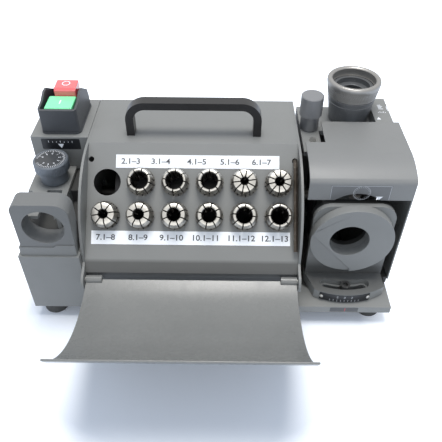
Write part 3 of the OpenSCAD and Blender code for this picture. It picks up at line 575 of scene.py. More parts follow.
class Finishes(Enum):
    """Every finish on the machine."""

    BODY = PowderCoat("body_paint", "body_paint", GREY)
    # Painted shade: the cover's front band below z 61.5, under the panel's foot and behind the tray, is
    # darkened to stand in for shade.
    COVER = PowderCoat("cover_paint", "body_paint", GREY, painted_shade=(PaintedShade("Z", 61.5, -2.5, 0.42),))
    # Painted shade: behind y -2 the seat plate is darkened to stand in for shade.
    SEAT = PowderCoat(
        "seat_paint", "body_paint", (0.185, 0.188, 0.182), painted_shade=(PaintedShade("Y", -2.0, 1.0, 0.22),)
    )
    # Painted shadow: the table's top face, above z 27.2, is darkened to stand in for the shadow under the
    # hood and disc.
    TABLE = PowderCoat(
        "table_paint", "body_paint", PALE_GREY, 0.46, painted_shade=(PaintedShade("Z", 27.2, 0.4, 0.55),)
    )
    # Painted shade: the bracket is darkened below z 47, under the disc, and painted shadow darkens it behind
    # y 9, under the hood's lower edge.
    BRACKET = PowderCoat(
        "bracket_paint", "body_paint", GREY,
        painted_shade=(PaintedShade("Z", 47.0, -12.0, 0.35), PaintedShade("Y", 9.0, 0.6, 0.10)),
    )
    # Painted shade: a darker copy of the body paint stands in for the shade on the bore block.
    BLOCK = PowderCoat("block_paint", "body_paint", (0.150, 0.153, 0.150))
    # Painted shadow: the base plate within 50 mm of the swivel table's pivot, under the table, is darkened to
    # stand in for its shadow.
    SLAB = PowderCoat(
        "slab_paint", "body_paint", PALE_GREY, 0.48,
        painted_shade=(PaintedShade("R", 50.0, -2.0, 0.10, (101.95, 37.63)),),
    )
    TRAY = PowderCoat("tray_paint", "body_paint", (0.180, 0.182, 0.175), 0.31, depth=0.025)
    HOOD = PowderCoat("hood_paint", "body_paint", (0.195, 0.197, 0.192), 0.44)
    BASE = PowderCoat("base_paint", "base_steel", (0.085, 0.085, 0.085), 0.5)
    MOTOR = PowderCoat("motor_paint", "dark_paint", (0.04, 0.042, 0.046), 0.45)
    # Painted shade: each collet is darkened below z 7.6, over its groove and lower side, to stand in for
    # shade and dark reflections.
    COLLET = Turned(
        "collet_steel", "bright_steel", (0.52, 0.51, 0.48), 0.36, painted_shade=(PaintedShade("Z", 7.6, -1.0, 0.30),)
    )
    STEEL = Turned("machine_steel", "bright_steel", (0.62, 0.62, 0.60), 0.32)
    OILED = Turned("oiled_steel", "bright_steel", (0.15, 0.145, 0.14), 0.45)
    KEY = Blackened("hex_key_oxide", "dark_steel", (0.075, 0.062, 0.050), 0.34)
    BOLT = Blackened("bolt_oxide", "dark_steel", (0.10, 0.10, 0.10), 0.36, rubbed=0.5)
    DIAL = Blackened("dial_anodised", "knurled_steel", (0.17, 0.19, 0.215), 0.36, rubbed=0.15, metal=0.5)
    KNOB = Blackened("knob_anodised", "knurled_steel", (0.25, 0.255, 0.265), 0.34, rubbed=0.2, metal=0.6)
    SLEEVE = Blackened("chuck_sleeve", "knurled_steel", (0.15, 0.157, 0.165), 0.36, rubbed=0.25, metal=0.6)
    RING = Blackened("chuck_ring_steel", "knurled_steel", (0.33, 0.325, 0.315), 0.32, rubbed=0.5, metal=0.8)
    HANDLE = Moulded(
        "handle_black", "black_handle", (0.005, 0.005, 0.006), 0.36, grain=0.5, depth=0.01, coat=0.12
    )
    BLACK = Moulded("black_plastic", "black_plastic", (0.02, 0.02, 0.023), 0.45)
    SWITCH = Moulded("switch_plastic", "switch_plastic", (0.050, 0.054, 0.060), 0.42, depth=0.03)
    GREEN = Moulded("green_button", "green_button", (0.22, 0.86, 0.42), 0.32, depth=0.006, coat=0.4)
    RED = Moulded("red_button", "red_button", (0.80, 0.12, 0.13), 0.24, depth=0.006, coat=1.0)
    RUBBER = Moulded("foot_rubber", "rubber", (0.045, 0.045, 0.042), 0.72, grain=0.6, depth=0.05)
    LABEL = Film("label_film", "label_white", (0.88, 0.90, 0.92), 0.5)
    INK = Film("grey_ink", "black_plastic", (0.055, 0.058, 0.065), 0.6)
    WHITE_INK = Film("white_ink", "label_white", (0.85, 0.87, 0.90), 0.55)
    PALE_INK = Film("pale_ink", "label_white", (0.42, 0.43, 0.44), 0.55)
    BLACK_FILM = Film("black_film", "black_plastic", (0.012, 0.013, 0.016), 0.30)
    GREY_FILM = Film("grey_film", "switch_plastic", (0.135, 0.138, 0.140), 0.3)
    BASE_FILM = Film("base_film", "switch_plastic", (0.075, 0.078, 0.080), 0.35)
    FACE = Film("dial_face", "black_plastic", (0.045, 0.048, 0.052), 0.32)
    RED_INK = Film("red_ink", "red_button", (0.45, 0.09, 0.10), 0.5)
    GRIT = Grit("wheel_grit", "wheel_grit", (0.10, 0.105, 0.10), 0.7)
    ALLOY = CastAlloy("motor_alloy", "motor_alloy", (0.12, 0.12, 0.125), 0.55)
    CAN = CastAlloy("capacitor_can", "motor_alloy", (0.16, 0.16, 0.165), 0.5)
    COPPER = Winding("stator_winding", "winding", (0.34, 0.13, 0.05), 0.45)

    def material(self) -> bpy.types.Material:
        """The finish's material."""
        return self.value.material()


# --------------------------------------------------------------------------- places and solids


@dataclass(frozen=True)
class Machine:
    """Where the machine's own zero lies in the row frame, and the slope of its panel."""

    x: float
    y: float
    tilt: float = 42.2
    top: float = 120.0
    depth: float = 63.0

    @classmethod
    def read(cls) -> Machine:
        """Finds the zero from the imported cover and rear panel.

        Returns:
            The machine's frame.
        """
        low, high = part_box("mid_cover")
        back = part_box("rear_panel")[1].y
        return cls((low.x + high.x) / 2, back - cls.depth * MM)

    def at(self, x: float, y: float, z: float) -> Vector:
        """A machine point in row metres."""
        return Vector((self.x + x * MM, self.y + y * MM, z * MM))

    def crown(self, node: str) -> tuple[float, float, float]:
        """The machine point in the middle of the top of a node's box."""
        low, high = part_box(node)
        return (((low.x + high.x) / 2 - self.x) / MM, ((low.y + high.y) / 2 - self.y) / MM, high.z / MM)

    def level(self, x: float, y: float, z: float) -> Matrix:
        """A frame at a point, with Z up."""
        return Matrix.Translation(self.at(x, y, z))

    def front(self, x: float, y: float, z: float) -> Matrix:
        """A frame on a front face: X to the right, Y up and Z out to the front."""
        return self.level(x, y, z) @ Matrix.Rotation(math.pi / 2, 4, "X")

    def panel(self, x: float, down: float, out: float = 0.0) -> Matrix:
        """A frame on the sloped panel: Y up the slope, Z out of it."""
        slope = Matrix.Rotation(math.radians(self.tilt), 4, "X")
        return self.level(x, 0, self.top) @ slope @ Matrix.Translation((0, -down * MM, out * MM))


def cross(length: float, width: float, angle: float) -> float:
    """How far a cross recess reaches at an angle.

    Args:
        length: from tip to tip.
        width: across one arm.
        angle: in radians from the first arm.

    Returns:
        The radius.
    """
    east = max(abs(math.cos(angle)), 1e-6)
    north = max(abs(math.sin(angle)), 1e-6)
    return max(min(length / 2 / east, width / 2 / north), min(length / 2 / north, width / 2 / east))


def placed(name: str, data: bpy.types.ID) -> bpy.types.Object:
    """Makes an object from its data and links it to the scene.

    Args:
        name: the object's name.
        data: its mesh, lamp, camera or curve.

    Returns:
        The object.
    """
    made = bpy.data.objects.new(name, data)
    bpy.context.scene.collection.objects.link(made)
    return made


def arc(centre: Point, radius: float, start: float, end: float, steps: int) -> list[Point]:
    """Points along an arc, both ends included; angles in degrees."""
    angles = [math.radians(start + (end - start) * i / steps) for i in range(steps + 1)]
    return [(centre[0] + radius * math.cos(a), centre[1] + radius * math.sin(a)) for a in angles]


def rounded(width: float, height: float, radius: float) -> list[Point]:
    """A rounded rectangle about the origin.

    Args:
        width: along X.
        height: along Y.
        radius: of its corners.

    Returns:
        Its outline, against the clock.
    """
    corners = [(1, 1, 0), (-1, 1, 90), (-1, -1, 180), (1, -1, 270)]
    outline: list[Point] = []
    for east, north, start in corners:
        centre = (east * (width / 2 - radius), north * (height / 2 - radius))
        outline += arc(centre, radius, start, start + 90, 6)
    return outline


@dataclass
class Solid:
    """Points in millimetres and faces, gathered before they become a piece."""

    points: list[Vector] = field(default_factory=list)
    faces: list[list[int]] = field(default_factory=list)

    def add(
        self, points: Sequence[Vector], faces: Sequence[Sequence[int]], move: Matrix | None = None
    ) -> Solid:
        """Adds points and the faces between them.

        Args:
            points: new points.
            faces: faces as numbers of the new points.
            move: an optional frame for the points.

        Returns:
            This solid.
        """
        first = len(self.points)
        self.points += [move @ p if move else p for p in points]
        self.faces += [[first + i for i in face] for face in faces]
        return self

    def prism(self, outline: Sequence[Point], low: float, high: float, move: Matrix | None = None) -> Solid:
        """Adds an extruded outline.

        Args:
            outline: its points, against the clock.
            low: where it starts along Z.
            high: where it ends.
            move: an optional frame.

        Returns:
            This solid.
        """
        count = len(outline)
        points = [Vector((x, y, z)) for z in (low, high) for x, y in outline]
        sides = [[i, (i + 1) % count, count + (i + 1) % count, count + i] for i in range(count)]
        caps = [list(range(count))[::-1], [count + i for i in range(count)]]
        return self.add(points, sides + caps, move)

    def bar(self, low: Point, high: Point, thick: float) -> Solid:
        """Adds a flat rectangle that stands up by its thickness."""
        outline = [low, (high[0], low[1]), high, (low[0], high[1])]
        return self.prism(outline, 0, thick)

    def ring(
        self, inner: float, outer: float, thick: float, steps: int, move: Matrix | None = None
    ) -> Solid:
        """Adds a flat ring."""
        return self.lathe([(inner, 0), (outer, 0), (outer, thick), (inner, thick)], steps, move=move)

    def lathe(
        self,
        outline: Sequence[Point],
        steps: int,
        shape: Shaping | None = None,
        move: Matrix | None = None,
        sweep: tuple[float, float] | None = None,
        gap: float = 0.0,
    ) -> Solid:
        """Adds an outline of radius and height turned round Z.

        Args:
            outline: a closed loop, against the clock with the radius to the right.
            steps: parts of the turn.
            shape: gives a new radius from radius, angle and height.
            move: an optional frame.
            sweep: first and last angle in radians for a part turn, which is closed at both ends.
            gap: width of the parallel slot left at each end of a part turn, halved.

        Returns:
            This solid.
        """
        start, end = sweep or (0.0, TURN)
        rows = steps + 1 if sweep else steps
        points: list[Vector] = []
        for j in range(rows):
            for radius, height in outline:
                inset = math.asin(min(gap / radius, 0.9)) if gap and radius else 0.0
                angle = start + inset + (end - start - 2 * inset) * j / steps
                reach = shape(radius, angle, height) if shape else radius
                points.append(Vector((reach * math.cos(angle), reach * math.sin(angle), height)))
        count = len(outline)
        faces: list[list[int]] = []
        for j in range(steps):
            here = j * count
            there = ((j + 1) % rows) * count
            for i in range(count):
                k = (i + 1) % count
                if outline[i][0] > 0 or outline[k][0] > 0:
                    faces.append([here + i, there + i, there + k, here + k])
        if sweep:
            faces.append(list(range(count)))
            faces.append([steps * count + i for i in range(count)][::-1])
        return self.add(points, faces, move)

    def letters(
        self, text: str, size: float, thick: float, move: Matrix | None = None, bold: float = 0.0
    ) -> Solid:
        """Adds plain numerals, centred, that stand up by their thickness.

        Args:
            text: the numerals.
            size: their height.
            thick: how far they stand up.
            move: an optional frame.
            bold: how far their outline is pushed out.

        Returns:
            This solid.
        """
        curve = bpy.data.curves.new("numerals", "FONT")
        curve.body = text
        curve.size = size
        curve.extrude = thick / 2
        curve.offset = bold
        curve.resolution_u = 3
        curve.align_x = curve.align_y = "CENTER"
        writer = placed("numerals", curve)
        evaluated = writer.evaluated_get(bpy.context.evaluated_depsgraph_get())
        mesh = bpy.data.meshes.new_from_object(evaluated)
        points = [v.co + Vector((0, 0, thick / 2)) for v in mesh.vertices]
        self.add(points, [list(p.vertices) for p in mesh.polygons], move)
        bpy.data.objects.remove(writer)
        bpy.data.meshes.remove(mesh)
        return self

    def piece(self, name: str, where: Matrix) -> bpy.types.Object:
        """Turns the solid into an object.

        Args:
            name: the piece's name.
            where: its frame in row metres.

        Returns:
            The object.
        """
        mesh = bpy.data.meshes.new(name)
        mesh.from_pydata([p * MM for p in self.points], [], self.faces)
        shaper = bmesh.new()
        shaper.from_mesh(mesh)
        bmesh.ops.remove_doubles(shaper, verts=shaper.verts, dist=JOIN)
        bmesh.ops.dissolve_degenerate(shaper, edges=shaper.edges, dist=SLIVER)
        bmesh.ops.recalc_face_normals(shaper, faces=shaper.faces)
        shaper.to_mesh(mesh)
        shaper.free()
        made = placed(name, mesh)
        made.matrix_world = where
        shade_edges(mesh, SMOOTH_ANGLE)
        return made


def shade_edges(mesh: bpy.types.Mesh, limit: float) -> None:
    """Shades a mesh smooth except over sharp edges.

    Args:
        mesh: the mesh.
        limit: edges that turn by this many degrees or more stay sharp.
    """
    mesh.shade_smooth()
    shaper = bmesh.new()
    shaper.from_mesh(mesh)
    for edge in shaper.edges:
        edge.smooth = edge.is_manifold and edge.calc_face_angle() < math.radians(limit)
    shaper.to_mesh(mesh)
    shaper.free()


@dataclass(frozen=True)
class Edge:
    """How the sharp edges of a part are broken: width in millimetres, and the least angle in degrees."""

    width: float
    segments: int
    limit: float = 28.0


@dataclass
class Workshop:
    """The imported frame, the machine's zero and the ways to add or dress a piece."""

    frame: dict
    machine: Machine
    count: int = 0

    def __post_init__(self) -> None:
        """Maps each node to its body."""
        groups = self.frame["record"]["behaviour"]["bodies"]
        self.bodies = {node: body for body, nodes in groups.items() for node in nodes}

    def dress(self, piece: bpy.types.Object, finish: Finishes) -> None:
        """Gives a piece one material."""
        piece.data.materials.clear()
        piece.data.materials.append(finish.material())

    def keep(self, finish: Finishes, *nodes: str) -> None:
        """Shows CAD nodes as they are, in a finish.

        Args:
            finish: their finish.
            nodes: the nodes.
        """
        for node in nodes:
            self.dress(self.frame["nodes"][node], finish)
            self._report(node, self.bodies[node])

    def add(
        self, piece: bpy.types.Object, body: str, finish: Finishes, replaces: Sequence[str] = ()
    ) -> None:
        """Adds a piece that rides on a body.

        Args:
            piece: the object, already in place.
            body: the CAD body it moves with.
            finish: its finish.
            replaces: CAD nodes that it stands for.
        """
        self.dress(piece, finish)
        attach(piece, body)
        if replaces:
            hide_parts(*replaces)
        self._report(piece.name, body)

    def lay(self, solid: Solid, name: str, where: Matrix, finish: Finishes, body: str = "base") -> None:
        """Adds a film, a mark or another small piece that stands for no CAD node."""
        self.add(solid.piece(name, where), body, finish)

    def stand_in(self, node: str, name: str, solid: Solid, finish: Finishes, where: Matrix) -> None:
        """Adds a finer piece in place of one CAD node."""
        self.add(solid.piece(name, where), self.bodies[node], finish, [node])

    def broken(self, node: str, name: str, finish: Finishes, edge: Edge) -> None:
        """Adds a copy of a CAD node whose sharp edges are broken, in place of the node.

        Args:
            node: the CAD node.
            name: the piece's name.
            finish: its finish.
            edge: how its edges are broken.
        """
        mesh = self.frame["nodes"][node].data.copy()
        mesh.name = name
        shaper = bmesh.new()
        shaper.from_mesh(mesh)
        bmesh.ops.remove_doubles(shaper, verts=shaper.verts, dist=WELD)
        bmesh.ops.dissolve_limit(
            shaper, angle_limit=math.radians(FLAT_ANGLE), verts=shaper.verts, edges=shaper.edges
        )
        limit = math.radians(edge.limit)
        sharp = [e for e in shaper.edges if e.is_manifold and e.calc_face_angle() > limit]
        bmesh.ops.bevel(
            shaper, geom=sharp, offset=edge.width * MM, offset_type="OFFSET", segments=edge.segments,
            profile=0.5, affect="EDGES", clamp_overlap=True, loop_slide=True,
        )
        shaper.to_mesh(mesh)
        shaper.free()
        made = placed(name, mesh)
        shade_edges(mesh, WORN_ANGLE)
        weigh = made.modifiers.new("weighted_normals", "WEIGHTED_NORMAL")
        weigh.keep_sharp = True
        self.add(made, self.bodies[node], finish, [node])

    def _report(self, name: str, body: str) -> None:
        """Logs a piece."""
        self.count += 1
        log.info("%3d %s rides on %s", self.count, name, body)


# --------------------------------------------------------------------------- studio


@dataclass(frozen=True)
class Lamp:
    """A soft lamp; lengths are metres and power is watts."""

    name: str
    place: tuple[float, float, float]
    size: tuple[float, float]
    power: float
    colour: Colour
    aim: tuple[float, float, float] = (0.0, 0.0, 0.05)

    def build(self) -> None:
        """Makes the lamp, which looks at the object."""
        data = bpy.data.lights.new(self.name, "AREA")
        data.shape = "RECTANGLE"
        data.size, data.size_y = self.size
        data.energy = self.power
        data.color = self.colour
        made = placed(self.name, data)
        made.location = Vector(self.place)
        made.rotation_euler = (Vector(self.aim) - made.location).to_track_quat("-Z", "Y").to_euler()


@dataclass
class Studio:
    """Camera, floor, lamps and world.

    The camera's eye and the floor are in machine millimetres and the shadow is in metres; angles are degrees,
    and the glows are strengths of the floor's painted glow near the object and far from it. The shadow fields
    place the ellipse inside which that painted glow stays faint.
    """

    lamps: tuple[Lamp, ...] = (
        Lamp("overhead", (0.05, 0.12, 2.2), (0.9, 0.8), 38.0, (1.0, 0.975, 0.94)),
        Lamp("front_fill", (0.0, -2.2, 1.3), (2.0, 1.0), 10.0, (1.0, 0.99, 0.97)),
    )

    lens: float = 43.77
    sensor: float = 36.0
    near_clip: float = 0.01
    pitch: float = 42.5
    yaw: float = -0.35
    roll: float = -0.38
    eye: tuple[float, float, float] = (23.2, -336.3, 349.3)
    ambient: Colour = (0.80, 0.90, 1.06)
    ambient_strength: float = 0.72
    floor_half: float = 4000.0
    floor_low: float = -20.0
    floor_top: float = -0.05
    paper: tuple[Colour, Colour] = ((0.83, 0.87, 0.93), (0.85, 0.89, 0.95))
    fibre: float = 1.5
    near_painted_glow: float = 0.04
    far_painted_glow: float = 0.70
    shadow_centre: Point = (-0.017, -0.019)
    shadow_reach: Point = (0.095, 0.080)
    shadow_edge: Point = (1.4, 0.5)

    def build(self, machine: Machine) -> None:
        """Sets up everything that isn't the object.

        Args:
            machine: where the machine's zero lies.
        """
        self._camera(machine)
        self._floor()
        self._world()
        for lamp in self.lamps:
            lamp.build()

    def _camera(self, machine: Machine) -> None:
        """Makes the camera.

        Args:
            machine: where the machine's zero lies.
        """
        pitch, yaw, roll = (math.radians(angle) for angle in (self.pitch, self.yaw, self.roll))
        ahead = Vector((math.sin(yaw) * math.cos(pitch), math.cos(yaw) * math.cos(pitch), -math.sin(pitch)))
        level = Vector((math.cos(yaw), -math.sin(yaw), 0))
        down = ahead.cross(level)
        right = level * math.cos(roll) + down * math.sin(roll)
        up = level * math.sin(roll) - down * math.cos(roll)
        data = bpy.data.cameras.new("camera")
        data.lens = self.lens
        data.sensor_width = self.sensor
        data.clip_start = self.near_clip
        camera = placed("camera", data)
        turn = Matrix((right, up, -ahead)).transposed().to_4x4()
        camera.matrix_world = Matrix.Translation(machine.at(*self.eye)) @ turn
        bpy.context.scene.camera = camera

    def _floor(self) -> None:
        """Makes the pale floor: lit paper with the object's soft shadow on it, plus a painted glow, seen only
        by the camera, that is faint near the object and rises to nearly white away from it.
        """
        half = self.floor_half
        corners = [(-half, -half), (half, -half), (half, half), (-half, half)]
        floor = Solid().prism(corners, self.floor_low, self.floor_top).piece("floor", Matrix.Identity(4))
        graph = Graph(bpy.data.materials.new(PREFIX + "floor_paper"))
        fibre = graph.noise(graph.place(), self.fibre, 3.0)
        tone = graph.mix(fibre, *self.paper)
        seen = graph.node("ShaderNodeLightPath", output="Is Camera Ray")
        # Painted glow: camera-only emission, faint inside the ellipse round the object's shadow and rising to
        # nearly white past its edge.
        across = (graph.axis(graph.place(), "X") - self.shadow_centre[0]) / self.shadow_reach[0]
        along = (graph.axis(graph.place(), "Y") - self.shadow_centre[1]) / self.shadow_reach[1]
        painted_glow_share = across.length(along).above(*self.shadow_edge)
        level = painted_glow_share * (self.far_painted_glow - self.near_painted_glow) + self.near_painted_glow
        matt = graph.node("ShaderNodeBsdfDiffuse", inputs={"Color": tone})
        painted_glow = graph.node("ShaderNodeEmission", inputs={"Color": level, "Strength": seen})
        both = graph.node("ShaderNodeAddShader", inputs={0: matt, 1: painted_glow})
        graph.node("ShaderNodeOutputMaterial", inputs={"Surface": both})
        floor.data.materials.append(graph.owner)

    def _world(self) -> None:
        """Makes a plain world that is white to the camera, to gloss and through glass."""
        world = bpy.data.worlds.new("studio")
        bpy.context.scene.world = world
        graph = Graph(world)
        camera, gloss, glass = (
            graph.node("ShaderNodeLightPath", output=f"Is {kind} Ray")
            for kind in ("Camera", "Glossy", "Transmission")
        )
        seen = (camera + gloss + glass).above(0.0, 1.0)
        dim, white = (
            graph.node("ShaderNodeBackground", inputs={"Color": opaque(colour), "Strength": strength})
            for colour, strength in ((self.ambient, self.ambient_strength), ((1.0, 1.0, 1.0), 1.0))
        )
        blend = graph.node("ShaderNodeMixShader", inputs={0: seen, 1: dim, 2: white})
        graph.node("ShaderNodeOutputWorld", inputs={"Surface": blend})


# --------------------------------------------------------------------------- sub-assemblies


Worn = tuple[str, str, Finishes, Edge]
Plain = tuple[Finishes, tuple[str, ...]]


@dataclass
class Part:
    """A sub-assembly.

    Worn lists the CAD nodes shown with broken edges, each with its piece's name, its finish and its
    edges. Plain lists the nodes shown as they are. Other fields are sizes in machine millimetres.
    """

    shop: Workshop
    worn: tuple[Worn, ...] = ()
    plain: tuple[Plain, ...] = ()

    def build(self) -> None:
        """Dresses the CAD nodes, then adds the finer pieces."""
        for node, name, finish, edge in self.worn:
            self.shop.broken(node, name, finish, edge)
        for finish, nodes in self.plain:
            self.shop.keep(finish, *nodes)
        self.detail()

    def detail(self) -> None:
        """Adds the finer pieces of a sub-assembly that has any."""


@dataclass
class Body(Part):
    """The folded cover, side plates, tray, handle, feet and rear panel."""

    worn: tuple[Worn, ...] = (
        ("mid_cover", "cover_shell", Finishes.COVER, Edge(0.45, 3, 15.0)),
        ("cheek_left", "side_plate_left", Finishes.BODY, Edge(0.4, 2)),
        ("cheek_right", "side_plate_right", Finishes.BODY, Edge(0.4, 2)),
        ("front_tray", "tray_sheet", Finishes.TRAY, Edge(0.3, 2, 40.0)),
        ("right_base", "right_foot_plate", Finishes.SLAB, Edge(0.6, 2)),
        ("carry_handle", "handle_bow", Finishes.HANDLE, Edge(2.2, 4, 30.0)),
        ("rubber_feet", "soft_feet", Finishes.RUBBER, Edge(1.0, 3)),
        ("rear_panel", "vented_back", Finishes.BASE, Edge(0.3, 2)),
        ("power_inlet", "inlet_housing", Finishes.BLACK, Edge(0.5, 2)),
    )
    plain: tuple[Plain, ...] = (
        (Finishes.BASE, ("base_plate",)),
        (Finishes.STEEL, ("foot_screws", "tray_hinge_pins", "handle_screws", "panel_screws")),
    )


@dataclass(frozen=True)
class Collet:
    """A spring collet: a slotted head, a groove for the ring and a long taper.

    Heights are above the panel's face. Every other slot is cut from the head, and the rest from the foot.
    """

    bore: float
    slots: int = 8
    head: float = 12.2
    length: float = 31.5
    face_r: float = 7.98
    outer_r: float = 9.75
    mouth_r: float = 10.02
    wall_r: float = 4.75
    taper: float = 8.0
    band_top: float = 7.6
    band_low: float = 6.2
    groove_r: float = 8.7
    seat: float = 3.0
    slot: float = 0.9
    lead: float = 0.45
    front_end: float = 6.0
    back_start: float = 1.1
    steps: int = 48

    def turn(self, node: str) -> float:
        """How far this one happens to be turned in its hole, in radians."""
        return math.radians(sum(ord(letter) for letter in node) * 7 % 45)

    def solid(self) -> Solid:
        """Builds the collet as wedges between its slots.

        Returns:
            The solid, with the panel's face at zero.
        """
        tail = self.head - self.length
        taper = math.tan(math.radians(self.taper))
        bottom_r = self.mouth_r + tail * taper
        seat_r = self.mouth_r + self.seat * taper
        bore, lead = self.bore / 2, self.lead
        wide = max(bore, self.wall_r)
        step = tail / 2
        high = self.band_top - self.back_start
        low = tail + self.front_end
        low_r = self.mouth_r + low * taper
        head = [
            (bore, high), (self.outer_r, high), (self.outer_r, self.band_top),
            (self.outer_r - 0.25, self.band_top + 0.35), (self.face_r + 0.1, self.head - 0.2),
            (self.face_r - 0.3, self.head), (bore + lead, self.head), (bore, self.head - lead),
        ]
        middle = [
            (wide, low), (low_r, low), (seat_r, self.seat), (self.groove_r, self.seat),
            (self.groove_r, self.band_low), (self.outer_r - 0.2, self.band_low),
            (self.outer_r, self.band_low + 0.2), (self.outer_r, high), (bore, high), (bore, step),
            (wide, step),
        ]
        foot = [
            (wide, tail), (bottom_r - 0.3, tail), (bottom_r, tail + 0.3), (low_r, low), (wide, low),
        ]
        made = Solid()
        self._wedges(made, head, self.slots, 0.0)
        self._wedges(made, middle, 2 * self.slots, 0.0)
        self._wedges(made, foot, self.slots, 0.5)
        return made

    def _wedges(self, made: Solid, outline: list[Point], count: int, shift: float) -> None:
        """Adds the wedges of one zone.

        Args:
            made: the collet's solid.
            outline: the wall's outline in this zone.
            count: wedges round the turn.
            shift: how far the first one starts round, in wedges.
        """
        pitch = TURN / count
        for i in range(count):
            start = (i + shift) * pitch
            sweep = (start, start + pitch)
            made.lathe(outline, max(2, self.steps // count), sweep=sweep, gap=self.slot / 2)


@dataclass(frozen=True)
class Row:
    """A row of collets: how far down the panel it and its label lie, and the numbers on the label."""

    name: str
    down: float
    collets: tuple[Collet, ...]
    label_down: float
    marks: tuple[tuple[float, str], ...]


@dataclass
class Rack(Part):
    """The collets in their two rows, their size labels and the hex key."""

    worn: tuple[Worn, ...] = (("hex_key", "hex_key_bar", Finishes.KEY, Edge(0.2, 1)),)
    plain: tuple[Plain, ...] = ((Finishes.LABEL, ("size_labels",)),)
    rows: tuple[Row, ...] = (
        Row(
            "upper", 30.2, (Collet(13.0), Collet(13.0), Collet(12.5), Collet(6.0, 10), Collet(7.0, 10)), 14.4,
            ((-46.4, "2.1–3"), (-24.1, "3.1–4"), (2.9, "4.1–5"), (27.5, "5.1–6"), (51.1, "6.1–7")),
        ),
        Row(
            "lower", 30.2 + 24.95, tuple(map(Collet, (7.0, 8.0, 10.0, 11.0, 12.0, 13.0))), 71.4,
            (
                (-63.7, "7.1–8"), (-39.7, "8.1–9"), (-15.1, "9.1–10"), (10.1, "10.1–11"),
                (36.3, "11.1–12"), (60.9, "12.1–13"),
            ),
        ),
    )
    label_lift: float = 0.34
    ink: float = 0.04
    numeral: float = 5.9
    widen: float = 1.1
    bold: float = 0.09

    def detail(self) -> None:
        """Adds the numerals and collets of each row."""
        for row in self.rows:
            self._numerals(row)
            for i, collet in enumerate(row.collets, 1):
                self._stand(f"{row.name}_{i}", row.down, collet)

    def _numerals(self, row: Row) -> None:
        """Prints one row of numbers on its label.

        Args:
            row: the row.
        """
        printed = Solid()
        for x, mark in row.marks:
            move = Matrix.Translation((x, 0, 0)) @ Matrix.Scale(self.widen, 4, (1, 0, 0))
            printed.letters(mark, self.numeral, self.ink, move, self.bold)
        where = self.shop.machine.panel(0, row.label_down, self.label_lift)
        self.shop.lay(printed, f"{row.name}_numerals", where, Finishes.INK)

    def _stand(self, label: str, down: float, collet: Collet) -> None:
        """Stands one collet in its hole.

        Args:
            label: its row and its number in the row.
            down: how far down the panel its row lies.
            collet: the collet.
        """
        machine = self.shop.machine
        node = f"collet_{label}"
        turn = Matrix.Rotation(collet.turn(node), 4, "Z")
        where = machine.panel(machine.crown(node)[0], down) @ turn
        self.shop.stand_in(node, f"spring_{node}", collet.solid(), Finishes.COLLET, where)


@dataclass
class Switch(Part):
    """The no-volt switch on the left upper box."""

    worn: tuple[Worn, ...] = (
        ("switch_frame", "switch_surround", Finishes.SWITCH, Edge(0.8, 3, 25.0)),
        ("start_button", "green_cap", Finishes.GREEN, Edge(0.9, 3)),
        ("stop_button", "red_cap", Finishes.RED, Edge(0.9, 3)),
    )
    flange: tuple[float, float, float] = (30.6, 46.6, 5.0)
    flange_y: float = 33.2
    flange_low: float = 0.02
    flange_top: float = 1.3
    bar_half: Point = (0.5, 2.6)
    bar_ink: float = 0.06
    ring_inner: float = 2.5
    ring_outer: float = 3.2
    ring_ink: float = 0.12
    ring_sunk: float = 0.25
    ring_back: float = 1.0
    stop_slope: Point = (0.6, 12.1)

    def detail(self) -> None:
        """Adds the flange, the bar of the start button and the ring of the stop button."""
        shop, machine = self.shop, self.shop.machine
        flange = Solid().prism(rounded(*self.flange), self.flange_low, self.flange_top)
        where = machine.level(machine.crown("switch_frame")[0], self.flange_y, machine.top)
        shop.lay(flange, "switch_flange", where, Finishes.SWITCH)
        east, north = self.bar_half
        bar = Solid().bar((-east, -north), (east, north), self.bar_ink)
        start = machine.level(*machine.crown("start_button"))
        shop.lay(bar, "start_mark", start, Finishes.WHITE_INK, "start_button")
        x, y, z = machine.crown("stop_button")
        tilt = Matrix.Rotation(math.atan2(*self.stop_slope), 4, "X")
        stop = machine.level(x, y + self.ring_back, z - self.ring_sunk) @ tilt
        ring = Solid().ring(self.ring_inner, self.ring_outer, self.ring_ink, 48)
        shop.lay(ring, "stop_mark", stop, Finishes.WHITE_INK, "stop_button")


